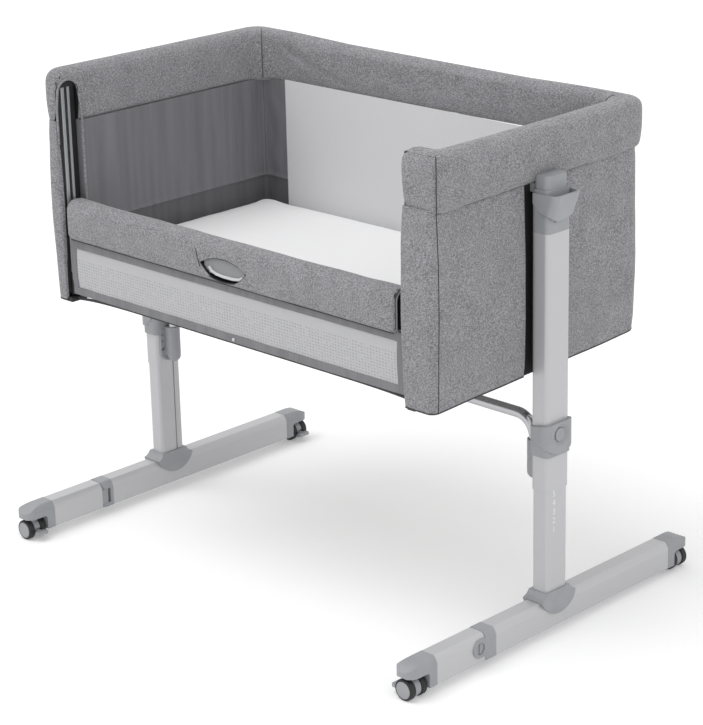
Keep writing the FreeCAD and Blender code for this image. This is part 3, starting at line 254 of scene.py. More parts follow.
@dataclass(frozen=True)
class HeatherCloth(Finish):
    """Woven cloth of mixed light and dark yarn.

    Args:
        contrast: How far single yarns stray from the mean.
        yarn: Width of a yarn.
        fleck: Length of a fleck.
        spread: How far from its mean the weave's value reaches the full contrast.
        patches: Lighter and darker patches per metre.
        patch_share: Share of the patches in the weave's value.
        relief: Height of the yarns.
    """

    contrast: float = 0.46
    yarn: float = 0.0011
    fleck: float = 0.0036
    spread: float = 0.13
    patches: float = 28.0
    patch_share: float = 0.10
    relief: float = 0.0006

    def make(self) -> Material:
        """Build the material.

        Returns:
            The material.
        """
        shader = Shader(self.name)
        thin, long = 1.0 / self.yarn, 1.0 / self.fleck
        weft = shader.grain((long, long, thin), 1.0)
        warp = shader.grain((thin, thin, long), 1.0)
        woven = shader.calc("MULTIPLY", shader.calc("ADD", weft, warp), 0.5)
        patches = shader.grain((self.patches,) * 3, 2.0)
        patchy = shader.calc("MULTIPLY", shader.calc("SUBTRACT", patches, 0.5), self.patch_share)
        mixed = shader.calc("ADD", woven, patchy)
        stops = [(0.5 - self.spread, shaded(self.tone, 1 - self.contrast)), (0.5, self.tone),
                 (0.5 + self.spread, shaded(self.tone, 1 + self.contrast))]
        shader.colour(shader.tones(mixed, stops))
        shader.bump(woven, 0.35, self.relief)
        shader.set(Roughness=0.92, Sheen_Weight=0.18, Sheen_Roughness=0.5)
        return shader.material


@dataclass(frozen=True)
class SatinLining(Finish):
    """Thin smooth lining cloth with faint drawn lines, coloured lighter and darker along them as painted
    shade and sheen.

    Args:
        lines: Drawn lines per metre.
        breaks: Breaks per metre along a line.
        weave: Threads per metre.
        weave_share: Share of the weave in the relief.
        relief: Height of the drawn lines.
    """

    lines: float = 55.0
    breaks: float = 3.5
    weave: float = 1400.0
    weave_share: float = 0.05
    relief: float = 0.004

    def make(self) -> Material:
        """Build the material.

        Returns:
            The material.
        """
        shader = Shader(self.name)
        drawn = shader.grain((self.lines, self.lines, self.breaks), 3.0)
        weave = shader.grain((self.weave,) * 3, 1.0)
        # Colour follows the relief's pattern: painted shade in the hollows of the drawn lines and painted
        # sheen on their ridges.
        stops = [(0.30, shaded(self.tone, 0.86)), (0.50, self.tone), (0.72, shaded(self.tone, 1.14))]
        shader.colour(shader.tones(drawn, stops))
        fine = shader.calc("MULTIPLY", weave, self.weave_share)
        shader.bump(shader.calc("ADD", drawn, fine), 0.5, self.relief)
        shader.set(Roughness=0.62, Sheen_Weight=0.12)
        return shader.material


@dataclass(frozen=True)
class OpenNet(Finish):
    """Knitted net with small see-through holes.

    Args:
        pitch: Spacing of the holes.
        open_share: Share of the light that goes through the net.
        rows: Spacing of heavier dotted rows, or 0 for none.
        rows_below: Height under which the dotted rows lie.
        cleared: How clear a hole is.
        stitch_gaps: Cycles per metre of the breaks in the rows.
        stitch_gap_share: Value of the breaks' grain above which a stitch stays.
        stitch_depth: How far a stitch takes its darker colour.
        stitch_shade: Share of the yarn's colour in that darker colour.
    """

    pitch: float = 0.0024
    open_share: float = 0.25
    rows: float = 0.0
    rows_below: float = 0.0
    cleared: float = 0.85
    stitch_gaps: tuple[float, float, float] = (240.0, 240.0, 320.0)
    stitch_gap_share: float = 0.42
    stitch_depth: float = 0.85
    stitch_shade: float = 0.62

    def make(self) -> Material:
        """Build the material.

        Returns:
            The material.
        """
        shader = Shader(self.name)
        where = shader.node("ShaderNodeSeparateXYZ")
        shader.link(shader.place((1.0, 1.0, 1.0)), where.inputs[0])
        across, up = where.outputs["X"], where.outputs["Z"]
        turn = 2 * math.pi / self.pitch
        wave_x = shader.calc("SINE", shader.calc("MULTIPLY", across, turn))
        wave_z = shader.calc("SINE", shader.calc("MULTIPLY", up, turn))
        holes = shader.calc("MULTIPLY", wave_x, wave_z)
        height = shader.calc("MULTIPLY", holes, -0.5)
        tone = shader.tones(shader.calc("ADD", shader.calc("MULTIPLY", holes, 0.25), 0.5),
                            [(0.25, self.tone), (0.75, shaded(self.tone, 0.90))])
        if self.rows:
            tone = self.dotted(shader, across, up, tone)
        shader.colour(tone)
        shader.bump(height, 0.3, 0.0005)
        shader.set(Roughness=0.85, Sheen_Weight=0.1)
        clear = shader.node("ShaderNodeBsdfTransparent")
        mix = shader.node("ShaderNodeMixShader")
        hole = shader.calc("GREATER_THAN", holes, 1.0 - 2.0 * self.open_share)
        mask = shader.calc("MULTIPLY", hole, self.cleared)
        shader.link(mask, mix.inputs[0])
        shader.link(shader.surface.outputs[0], mix.inputs[1])
        shader.link(clear.outputs[0], mix.inputs[2])
        shader.link(mix.outputs[0], shader.output.inputs[0])
        return shader.material

    def dotted(self, shader: Shader, across: Socket, up: Socket,
               tone: Socket) -> Socket:
        """Darken rows of short stitches in the lower part of the net.

        Args:
            shader: The material in work.
            across: Coordinate along the rows.
            up: Height.
            tone: Colour before the rows.

        Returns:
            Colour with the rows in it.
        """
        turn = 2 * math.pi / self.rows
        row = shader.calc("GREATER_THAN", shader.calc("SINE", shader.calc("MULTIPLY", up, turn)), 0.0)
        along = shader.calc("SINE", shader.calc("MULTIPLY", across, turn * 0.8))
        dot = shader.calc("GREATER_THAN", along, 0.1)
        low = shader.calc("LESS_THAN", up, self.rows_below)
        broken = shader.calc("GREATER_THAN", shader.grain(self.stitch_gaps, 1.0), self.stitch_gap_share)
        stitches = shader.calc("MULTIPLY", shader.calc("MULTIPLY", row, dot), broken)
        marks = shader.calc("MULTIPLY", stitches, shader.calc("MULTIPLY", low, self.stitch_depth))
        mix = shader.node("ShaderNodeMix", data_type="RGBA")
        shader.link(marks, mix.inputs["Factor"])
        shader.link(tone, mix.inputs["A"])
        mix.inputs["B"].default_value = (*shaded(self.tone, self.stitch_shade), 1.0)
        return mix.outputs["Result"]


@dataclass(frozen=True)
class SoftKnit(Finish):
    """Plain knitted mattress cover.

    Args:
        loops: Loops per metre.
        loop_share: Share of the loops in the relief.
        rumples: Soft rumples per metre on each axis.
        relief: Height of the rumples.
    """

    loops: float = 900.0
    loop_share: float = 0.04
    rumples: tuple[float, float, float] = (7.0, 11.0, 7.0)
    relief: float = 0.006

    def make(self) -> Material:
        """Build the material.

        Returns:
            The material.
        """
        shader = Shader(self.name)
        loops = shader.grain((self.loops,) * 3, 1.0)
        rumples = shader.grain(self.rumples, 2.0)
        stops = [(0.30, shaded(self.tone, 0.97)), (0.70, self.tone)]
        shader.colour(shader.tones(loops, stops))
        fine = shader.calc("MULTIPLY", loops, self.loop_share)
        shader.bump(shader.calc("ADD", fine, rumples), 0.25, self.relief)
        shader.set(Roughness=0.9, Sheen_Weight=0.1)
        return shader.material


@dataclass(frozen=True)
class Moulded(Finish):
    """Fine-grained moulded plastic or rubber.

    Args:
        roughness: Roughness of the surface.
        grain_depth: Depth of the mould's grain.
        grains: Grains per metre.
        clouds: Lighter and darker clouds per metre.
        cloud_shade: How far the clouds stray from the mean, as a share.
    """

    roughness: float = 0.48
    grain_depth: float = 0.00012
    grains: float = 1800.0
    clouds: float = 40.0
    cloud_shade: float = 0.04

    def make(self) -> Material:
        """Build the material.

        Returns:
            The material.
        """
        shader = Shader(self.name)
        grains = shader.grain((self.grains,) * 3, 2.0)
        clouds = shader.grain((self.clouds,) * 3, 2.0)
        dim, bright = shaded(self.tone, 1 - self.cloud_shade), shaded(self.tone, 1 + self.cloud_shade)
        stops = [(0.30, dim), (0.70, bright)]
        shader.colour(shader.tones(clouds, stops))
        shader.bump(grains, 0.4, self.grain_depth)
        shader.set(Roughness=self.roughness)
        return shader.material


@dataclass(frozen=True)
class PaintedMetal(Finish):
    """Powder-coated or anodised metal with a faint orange-peel surface.

    Args:
        roughness: Roughness of the surface.
        metallic: Share of bare metal in the shine.
        peel: Bumps of the orange peel per metre.
        peel_depth: Depth of the orange peel.
        flecks: Lighter and darker flecks per metre.
        fleck_shade: How far the flecks stray from the mean, as a share.
    """

    roughness: float = 0.38
    metallic: float = 0.25
    peel: float = 420.0
    peel_depth: float = 0.00015
    flecks: float = 2600.0
    fleck_shade: float = 0.03

    def make(self) -> Material:
        """Build the material.

        Returns:
            The material.
        """
        shader = Shader(self.name)
        peel = shader.grain((self.peel,) * 3, 2.0)
        flecks = shader.grain((self.flecks,) * 3, 1.0)
        dim, bright = shaded(self.tone, 1 - self.fleck_shade), shaded(self.tone, 1 + self.fleck_shade)
        stops = [(0.30, dim), (0.70, bright)]
        shader.colour(shader.tones(flecks, stops))
        shader.bump(peel, 0.25, self.peel_depth)
        shader.set(Roughness=self.roughness, Metallic=self.metallic)
        return shader.material


@dataclass(frozen=True)
class Palette:
    """Every finish of the crib."""

    outer: HeatherCloth = HeatherCloth("heather_cloth", (0.272, 0.270, 0.286))
    lining: SatinLining = SatinLining("satin_lining", (0.185, 0.184, 0.200))
    binding: SatinLining = SatinLining("binding_tape", (0.200, 0.200, 0.214))
    # Darker lower strip of the linings and thread of the seams; its cord under the band's ends is painted
    # shadow.
    skirting: SatinLining = SatinLining("lining_skirting", (0.120, 0.119, 0.130))
    edging: SatinLining = SatinLining("black_edging", (0.022, 0.022, 0.024))
    window: OpenNet = OpenNet("window_net", (0.82, 0.82, 0.83), 0.0026, 0.12)
    side: OpenNet = OpenNet("side_net", (0.60, 0.60, 0.62), 0.0030, 0.10, 0.0050, 0.503)
    cover: SoftKnit = SoftKnit("mattress_knit", (0.95, 0.95, 0.955))
    bars: PaintedMetal = PaintedMetal("bar_coat", (0.56, 0.56, 0.575))
    polished: PaintedMetal = PaintedMetal("polished_tube", (0.50, 0.50, 0.52), 0.20, 0.9)
    tubes: PaintedMetal = PaintedMetal("frame_coat", (0.10, 0.10, 0.105), 0.42, 0.1)
    guides: PaintedMetal = PaintedMetal("guide_metal", (0.42, 0.43, 0.44), 0.35, 0.6)
    bolts: PaintedMetal = PaintedMetal("bolt_metal", (0.45, 0.45, 0.46), 0.3, 1.0)
    housings: Moulded = Moulded("housing_plastic", (0.36, 0.367, 0.388))
    caps: Moulded = Moulded("cap_plastic", (0.35, 0.356, 0.376))
    hubs: Moulded = Moulded("hub_plastic", (0.36, 0.365, 0.38), 0.4)
    grips: Moulded = Moulded("grip_plastic", (0.27, 0.272, 0.285), 0.5)
    # Real black plastic, and also painted shade on the sheets in the guide slots, the cloth beside the posts
    # and the plate at the rail's end.
    black: Moulded = Moulded("black_plastic", (0.012, 0.012, 0.013), 0.5)
    # Pale plastic of the hem stud, also the painted highlight of the grip's lip.
    pale: Moulded = Moulded("pale_plastic", (0.62, 0.63, 0.65), 0.35)
    tyre: Moulded = Moulded("tyre_rubber", (0.014, 0.014, 0.015), 0.6)
    print: Moulded = Moulded("number_print", (0.86, 0.86, 0.87), 0.5)
    board: Moulded = Moulded("board_panel", (0.30, 0.29, 0.28), 0.7)


class Finishes:
    """Materials by the name of their finish, each made once."""

    def __init__(self, palette: Palette) -> None:
        """Keep the palette and start with no material made."""
        self.palette = palette
        self.made: dict[str, Material] = {}

    def get(self, name: str) -> Material:
        """The material of a finish.

        Args:
            name: Field of the palette.

        Returns:
            The finish's material.
        """
        if name not in self.made:
            self.made[name] = getattr(self.palette, name).make()
        return self.made[name]


# -------------------- plan outlines
@dataclass(frozen=True)
class PlanPoint:
    """A point of a plan outline with its outward direction and its distance along the outline."""

    place: Vector
    outward: Vector
    run: float


@dataclass
class Plan:
    """A plan outline of straight runs and round corners, with its outer side on the right.

    Args:
        corners: X, Y and corner radius.
        closed: Whether the last corner joins the first.
    """

    corners: list[tuple[float, float, float]]
    closed: bool = True

    def points(self, step: float, inset: float = 0.0) -> list[PlanPoint]:
        """Sample the outline, drawn in by an inset, with as many points at every inset.

        Args:
            step: Greatest spacing of the points.
            inset: Distance that the outline is drawn in.

        Returns:
            Points in order along the outline.
        """
        count = len(self.corners)
        drawn = [self.corner(index, step, inset) for index in range(count)]
        plain = [self.corner(index, step, 0.0) for index in range(count)]
        made: list[PlanPoint] = []
        run = 0.0
        for index in range(count):
            for part, (place, outward) in enumerate(drawn[index]):
                if part:
                    run += (plain[index][part][0] - plain[index][part - 1][0]).length
                made.append(PlanPoint(place, outward, run))
            if not self.closed and index + 1 == count:
                break
            after = (index + 1) % count
            (here, facing), (there, facing_there) = drawn[index][-1], drawn[after][0]
            length = (plain[after][0][0] - plain[index][-1][0]).length
            parts = max(1, math.ceil(length / step))
            for part in range(1, parts):
                share = part / parts
                facing_now = facing.lerp(facing_there, share).normalized()
                made.append(PlanPoint(here.lerp(there, share), facing_now, run + length * share))
            run += length
        return made

    @staticmethod
    def right_of(travel: Vector) -> Vector:
        """Unit vector to the right of a direction of travel."""
        unit = travel.normalized()
        return Vector((unit.y, -unit.x))

    def corner(self, index: int, step: float, inset: float) -> list[tuple[Vector, Vector]]:
        """Points of one round corner, or of one end of an open outline.

        Args:
            index: Which corner.
            step: Greatest spacing.
            inset: Distance that the outline is drawn in.

        Returns:
            Pairs of place and outward direction.
        """
        x, y, radius = self.corners[index]
        here, last = Vector((x, y)), len(self.corners) - 1
        if not self.closed and index in (0, last):
            other = Vector(self.corners[1 if index == 0 else last - 1][:2])
            outward = self.right_of(other - here if index == 0 else here - other)
            return [(here - outward * inset, outward)]
        into = (here - Vector(self.corners[index - 1][:2])).normalized()
        out = (Vector(self.corners[(index + 1) % len(self.corners)][:2]) - here).normalized()
        turn = math.atan2(into.x * out.y - into.y * out.x, into.dot(out))
        side = 1.0 if turn > 0 else -1.0
        first, final = self.right_of(into), self.right_of(out)
        centre = here - into * radius * math.tan(abs(turn) / 2) - first * radius * side
        left = radius - inset * side
        parts = max(3, math.ceil(abs(turn) * radius / step), math.ceil(abs(turn) / 0.2))
        made = []
        for part in range(parts + 1):
            outward = Matrix.Rotation(turn * part / parts, 2) @ first
            reach = outward if left > 0 else (first + final) / (1 + first.dot(final))
            made.append((centre + reach * left * side, outward))
        return made


# -------------------- mesh helpers
def unit(value: float) -> float:
    """A value held between zero and one."""
    return min(1.0, max(0.0, value))


def bell(value: float, middle: float, width: float) -> float:
    """Smooth bump of height one round a middle value, gone a few widths away."""
    return math.exp(-((value - middle) / width) ** 2)


def placed(name: str, data: bpy.types.ID) -> Piece:
    """Add an object that shows some data to the scene.

    Args:
        name: Name of the object.
        data: Mesh, text curve, light or camera.

    Returns:
        The new object.
    """
    made = bpy.data.objects.new(name, data)
    bpy.context.scene.collection.objects.link(made)
    return made


def ring_faces(rings: int, count: int) -> list[tuple[int, ...]]:
    """Four-sided faces between closed rings of points that follow one another.

    Args:
        rings: Number of rings.
        count: Number of points in each ring.

    Returns:
        Indices of each face's points.
    """
    faces: list[tuple[int, ...]] = []
    for ring in range(rings - 1):
        base, top = ring * count, (ring + 1) * count
        for index in range(count):
            after = (index + 1) % count
            faces.append((base + index, base + after, top + after, top + index))
    return faces


def end_faces(rings: int, count: int) -> list[tuple[int, ...]]:
    """The first and the last ring of points, each as one face."""
    return [tuple(range(count)), tuple(range((rings - 1) * count, rings * count))]


def new_piece(name: str, vertices: Sequence[Sequence[float]], faces: Sequence[Sequence[int]],
              material: Material, smooth_angle: float = 40.0) -> Piece:
    """Make a shaded mesh object.

    Args:
        name: Name of the piece.
        vertices: The points.
        faces: Indices of each face's points.
        material: Finish of the piece.
        smooth_angle: Edges sharper than this many degrees stay crisp.

    Returns:
        The new object.
    """
    mesh = bpy.data.meshes.new(name)
    mesh.from_pydata([tuple(v) for v in vertices], [], [tuple(f) for f in faces])
    mesh.materials.append(material)
    piece = placed(name, mesh)
    outward_faces(mesh)
    smooth(mesh, smooth_angle)
    return piece


def outward_faces(mesh: bpy.types.Mesh) -> None:
    """Turn every face of a closed mesh outward and drop doubled points.

    Args:
        mesh: The mesh.
    """
    work = bmesh.new()
    work.from_mesh(mesh)
    bmesh.ops.remove_doubles(work, verts=work.verts, dist=1e-6)
    caps = [face for face in work.faces if len(face.verts) > 4]
    bmesh.ops.triangulate(work, faces=caps, ngon_method="EAR_CLIP")
    bmesh.ops.recalc_face_normals(work, faces=work.faces)
    work.to_mesh(mesh)
    work.free()


def smooth(mesh: bpy.types.Mesh, angle: float) -> None:
    """Shade a mesh smooth, apart from edges sharper than an angle in degrees."""
    mesh.shade_smooth()
    mesh.set_sharp_from_angle(angle=math.radians(angle))


def applied(piece: Piece) -> Piece:
    """Turn a piece's modifiers into mesh.

    Args:
        piece: The object.

    Returns:
        The same object with no modifier left.
    """
    bpy.context.view_layer.update()
    graph = bpy.context.evaluated_depsgraph_get()
    mesh = bpy.data.meshes.new_from_object(piece.evaluated_get(graph), depsgraph=graph)
    piece.modifiers.clear()
    piece.data = mesh
    return piece


def carved(piece: Piece, cutters: Iterable[Piece]) -> Piece:
    """Cut closed shapes out of a piece and delete them.

    Args:
        piece: The object to cut.
        cutters: Closed shapes; their finish lines the cut.

    Returns:
        The cut object.
    """
    cutters = list(cutters)
    for cutter in cutters:
        cut = piece.modifiers.new("cut", "BOOLEAN")
        cut.operation = "DIFFERENCE"
        cut.solver = "MANIFOLD"
        cut.material_mode = "TRANSFER"
        cut.object = cutter
    applied(piece)
    for cutter in cutters:
        bpy.data.objects.remove(cutter)
    return piece


def faced(piece: Piece, material: Material, chosen: Callable[[Vector], bool]) -> None:
    """Give some faces of a piece another finish.

    Args:
        piece: The piece.
        material: The finish.
        chosen: True at the middle of a face that gets it.
    """
    piece.data.materials.append(material)
    index = len(piece.data.materials) - 1
    for face in piece.data.polygons:
        if chosen(face.center):
            face.material_index = index


def swollen(piece: Piece, voxel: float, reach: float, hold: Callable[[Vector], float]) -> None:
    """Args:
        piece: The form, a little smaller than it should end.
        voxel: Size of the cloth's cells.
        reach: Greatest distance that a point may move.
        hold: Share from 0 to 1 to which the cloth is held at a point.
    """
    last_frame, pressure = 20, 4.0
    remesh = piece.modifiers.new("even", "REMESH")
    remesh.mode = "VOXEL"
    remesh.voxel_size = voxel
    applied(piece)
    start = [vertex.co.copy() for vertex in piece.data.vertices]
    pins = piece.vertex_groups.new(name="seams")
    for index, place in enumerate(start):
        share = hold(place)
        if share > 0:
            pins.add([index], share, "REPLACE")
    cloth = piece.modifiers.new("cloth", "CLOTH")
    cloth.settings.vertex_group_mass = pins.name
    cloth.settings.use_pressure = True
    cloth.settings.uniform_pressure_force = pressure
    cloth.settings.effector_weights.gravity = 0.0
    cloth.point_cache.frame_start, cloth.point_cache.frame_end = 1, last_frame
    for frame_number in range(1, last_frame + 1):
        bpy.context.scene.frame_set(frame_number)
    applied(piece)
    piece.vertex_groups.clear()
    for vertex, place in zip(piece.data.vertices, start):
        moved = vertex.co - place
        if moved.length > reach:
            vertex.co = place + moved.normalized() * reach
    finer = piece.modifiers.new("finer", "SUBSURF")
    finer.levels = finer.render_levels = 1
    applied(piece)
    bpy.context.scene.frame_set(1)
    LOG.info("%s blown up between its seams", piece.name)


def joined(name: str, pieces: Sequence[Piece]) -> Piece:
    """Join meshes with their finishes into one object.

    Args:
        name: Name of the result.
        pieces: Objects to join.

    Returns:
        The joined object.
    """
    materials: list[Material] = []
    work = bmesh.new()
    for piece in pieces:
        offset = {}
        for index, material in enumerate(piece.data.materials):
            if material not in materials:
                materials.append(material)
            offset[index] = materials.index(material)
        first = len(work.faces)
        piece.data.transform(piece.matrix_world)
        work.from_mesh(piece.data)
        work.faces.ensure_lookup_table()
        for face in work.faces[first:]:
            face.material_index = offset.get(face.material_index, 0)
    mesh = bpy.data.meshes.new(name)
    work.to_mesh(mesh)
    work.free()
    for material in materials:
        mesh.materials.append(material)
    for piece in pieces:
        bpy.data.objects.remove(piece)
    return placed(name, mesh)


def rumple(place: Vector, size: float, seed: float = 0.0) -> float:
    """Smooth random value from -1 to 1 at a place, with bumps of a given size."""
    return noise.noise(Vector((place.x / size + seed, place.y / size - seed, place.z / size + 2 * seed)))


Profile = Callable[[PlanPoint, float], tuple[float, float]]


def upright(foot: float, rise: float, shift: float = 0.0) -> Profile:
    """Profile of a sheet that stands straight, by its foot, its height and its outward shift."""
    return lambda point, share: (foot + rise * share, shift)


def cloth_wall(name: str, plan: Plan, profile: Profile, rows: int, thickness: float,
               material: Material, step: float = 0.008) -> Piece:
    """Closed sheet of cloth that stands on a plan outline.

    Args:
        name: Name of the piece.
        plan: Open outline of the sheet's outer face.
        profile: Height and outward shift at a point of the outline and a share from 0 to 1 of the way up.
        rows: Number of rows up the sheet.
        thickness: Thickness of the cloth.
        material: Finish.
        step: Spacing of points along the outline.

    Returns:
        The sheet.
    """
    line, back = plan.points(step), plan.points(step, thickness)
    across = len(line)
    vertices: list[tuple[float, float, float]] = []
    for base in (line, back):
        for row in range(rows + 1):
            for point, behind in zip(line, base):
                height, shift = profile(point, row / rows)
                place = behind.place + behind.outward * shift
                vertices.append((place.x, place.y, height))
    layer = across * (rows + 1)
    faces = []
    for row in range(rows):
        for index in range(across - 1):
            first = row * across + index
            quad = (first, first + 1, first + across + 1, first + across)
            faces.append(quad)
            faces.append(tuple(layer + corner for corner in reversed(quad)))
    rim = list(range(across))
    rim += [row * across + across - 1 for row in range(1, rows + 1)]
    rim += [rows * across + index for index in range(across - 2, -1, -1)]
    rim += [row * across for row in range(rows - 1, 0, -1)]
    for first, second in zip(rim, rim[1:] + rim[:1]):
        faces.append((first, layer + first, layer + second, second))
    return new_piece(name, vertices, faces, material)


def stacked_form(name: str, plan: Plan, levels: Sequence[tuple[float, float]], material: Material,
                 puff: Callable[[Vector], float] = lambda place: 0.0, step: float = 0.007) -> Piece:
    """Closed padded form, built up from a plan outline that is drawn in at each height.

    Args:
        name: Name of the piece.
        plan: Closed outline.
        levels: Height and inset of each ring, from the bottom to the top.
        material: Finish.
        puff: Extra outward shift at a place.
        step: Spacing of points along the outline.

    Returns:
        The form.
    """
    count = len(plan.points(step))
    vertices = []
    for height, inset in levels:
        for point in plan.points(step, inset):
            shift = puff(Vector((point.place.x, point.place.y, height)))
            vertices.append((*(point.place + point.outward * shift), height))
    faces = ring_faces(len(levels), count)
    for first in (0, (len(levels) - 1) * count):
        rim = [Vector(vertices[first + index]) for index in range(count)]
        faces += [tuple(first + corner for corner in triangle) for triangle in tessellate_polygon([rim])]
    return new_piece(name, vertices, faces, material)


def swept(name: str, path: Sequence[Vector], radius: float, material: Material,
          sides: int = 8) -> Piece:
    """Round cord of thread, tape or piping along a path.

    Args:
        name: Name of the piece.
        path: Points of the middle line.
        radius: Radius of the cord.
        material: Finish.
        sides: Number of sides of the section.

    Returns:
        The cord.
    """
    vertices = []
    for index, here in enumerate(path):
        ahead = path[min(index + 1, len(path) - 1)] - path[max(index - 1, 0)]
        along = ahead.normalized()
        steep = abs(along.z) > 0.9
        level = (along.orthogonal() if steep else along.cross(Vector((0, 0, 1)))).normalized()
        rise = along.cross(level)
        for side in range(sides):
            angle = 2 * math.pi * side / sides
            vertices.append(here + (level * math.cos(angle) + rise * math.sin(angle)) * radius)
    return new_piece(name, vertices, ring_faces(len(path), sides) + end_faces(len(path), sides), material)


def bar_block(name: str, low: Sequence[float], high: Sequence[float], round_off: float,
              material: Material) -> Piece:
    """Block between two corners with every edge rounded.

    Args:
        name: Name of the piece.
        low: Lowest corner.
        high: Highest corner.
        round_off: Radius of the edges.
        material: Finish.

    Returns:
        The block.
    """
    work = bmesh.new()
    bmesh.ops.create_cube(work, size=1.0)
    size = Vector(high) - Vector(low)
    middle = (Vector(high) + Vector(low)) / 2
    fitted = Matrix.Translation(middle) @ Matrix.Diagonal((*size, 1.0))
    bmesh.ops.transform(work, matrix=fitted, verts=work.verts)
    bmesh.ops.bevel(work, geom=list(work.edges), offset=round_off, segments=4, affect="EDGES", profile=0.5)
    mesh = bpy.data.meshes.new(name)
    work.to_mesh(mesh)
    work.free()
    mesh.materials.append(material)
    smooth(mesh, 50.0)
    return placed(name, mesh)


def arch_cutter(name: str, x_range: tuple[float, float], y_range: tuple[float, float],
                z_range: tuple[float, float], material: Material) -> Piece:
    """Closed shape with a round top, run along X.

    Args:
        name: Name of the shape.
        x_range: Ends along X.
        y_range: Sides of the arch.
        z_range: Foot and crown of the arch.
        material: Finish that lines the cut.

    Returns:
        The shape.
    """
    radius = (y_range[1] - y_range[0]) / 2
    middle = sum(y_range) / 2
    outline = [(y_range[0], z_range[0]), (y_range[1], z_range[0])]
    for index in range(17):
        angle = math.pi * index / 16
        outline.append((middle + radius * math.cos(angle), z_range[1] - radius + radius * math.sin(angle)))
    count = len(outline)
    vertices = [(x, y, z) for x in x_range for y, z in outline]
    return new_piece(name, vertices, end_faces(2, count) + ring_faces(2, count), material)


def done(piece: Piece, body: Body, slot: str, *nodes: str) -> Piece:
    """Ride a finished piece on its body, hide the frame nodes that it replaces and log the body.

    Args:
        piece: The piece.
        body: Body that carries it.
        slot: Record slot of its finish; not used.
        *nodes: Frame nodes that it replaces.

    Returns:
        The piece.
    """
    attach(piece, body.value)
    if nodes:
        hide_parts(*nodes)
    LOG.info("%s rides on %s", piece.name, body.value)
    return piece


# -------------------- bassinet fabric
# Height and inset of the padded band's rings, from its foot to the start of its rounded top.
BAND_FOOT_LEVELS = [(0.735, 0.0085), (0.7375, 0.0055), (0.741, 0.0038), (0.750, 0.0022), (0.762, 0.0010),
                    (0.776, 0.0003), (0.790, 0.0), (0.800, 0.0)]


@dataclass(frozen=True)
class Tilt:
    """Height change of a sewn line over the crib's plan, given at the four corners.

    Args:
        left_front: Change at the left front corner.
        left_back: Change at the left back corner.
        right_back: Change at the right back corner.
        right_front: Change at the right front corner.
        length: Distance between the ends.
        depth: Distance between the front and the back.
    """

    left_front: float
    left_back: float
    right_back: float
    right_front: float
    length: float = 0.88
    depth: float = 0.49

    def at(self, x: float, y: float) -> float:
        """Change at a place of the plan, even between the corners.

        Args:
            x: X of the place.
            y: Y of the place.

        Returns:
            The change.
        """
        along, deep = 0.5 + x / self.length, 0.5 + y / self.depth
        left = self.left_front + (self.left_back - self.left_front) * deep
        right = self.right_front + (self.right_back - self.right_front) * deep
        return left + (right - left) * along


@dataclass(frozen=True)
class Slack:
    """How far the stretched covers stray from flat.

    Args:
        hem_wave: Even wave of the hem.
        hem_rumple: Uneven wave of the hem.
        wave: Broad waves of the face.
        crinkle: Small waves of the face.
        tuck: How far the cloth is drawn in at its sewn edges.
        tightness: How soon the waves grow from a sewn edge.
        recess: Depth of the recess beside a post.
    """

    hem_wave: float = 0.0015
    hem_rumple: float = 0.0012
    wave: float = 0.0014
    crinkle: float = 0.0005
    tuck: float = 0.0012
    tightness: float = 14.0
    recess: float = 0.0055


@dataclass(frozen=True)
class GuideSlots:
    """Black sheets of painted shade in the slots that the drop side's guides stand in, and the piping round
    the left one.

    Args:
        foot: Lower end of the black shade sheets.
        left_top: Upper end of the shade sheets at the left.
        right_top: Upper end of the shade sheet at the right.
        front_edge: Y of the back edge of the left slot's front shade sheet.
        back_edge: Y of the front edge of the left slot's back shade sheet.
        right_x: X where the right slot's shade sheet starts.
        right_y: Y of the right slot's shade sheet.
        cloth: Thickness of the shade sheets.
        piping: Radius of the piping.
        arch_radius: Radius of the piping's arch.
        arch_centre: Height of the arch's centre.
        front_heights: Heights of the piping's points up the front.
        back_heights: Heights of the piping's points down the back.
        piping_back_x: X of the piping down the back.
        block_y: Front and back of the block under an upright.
        block_z: How far the block reaches below and above the hem.
    """

    foot: float = 0.440
    left_top: float = 0.806
    right_top: float = 0.745
    front_edge: float = -0.2315
    back_edge: float = -0.2125
    right_x: float = 0.3746
    right_y: float = -0.2328
    cloth: float = 0.0008
    piping: float = 0.0020
    arch_radius: float = 0.0218
    arch_centre: float = 0.7865
    front_heights: tuple[float, ...] = (0.700, 0.735, 0.760)
    back_heights: tuple[float, ...] = (0.755, 0.700, 0.640, 0.560, 0.470)
    piping_back_x: float = -0.4005
    block_y: tuple[float, float] = (-0.2400, -0.2040)
    block_z: tuple[float, float] = (0.0045, 0.004)


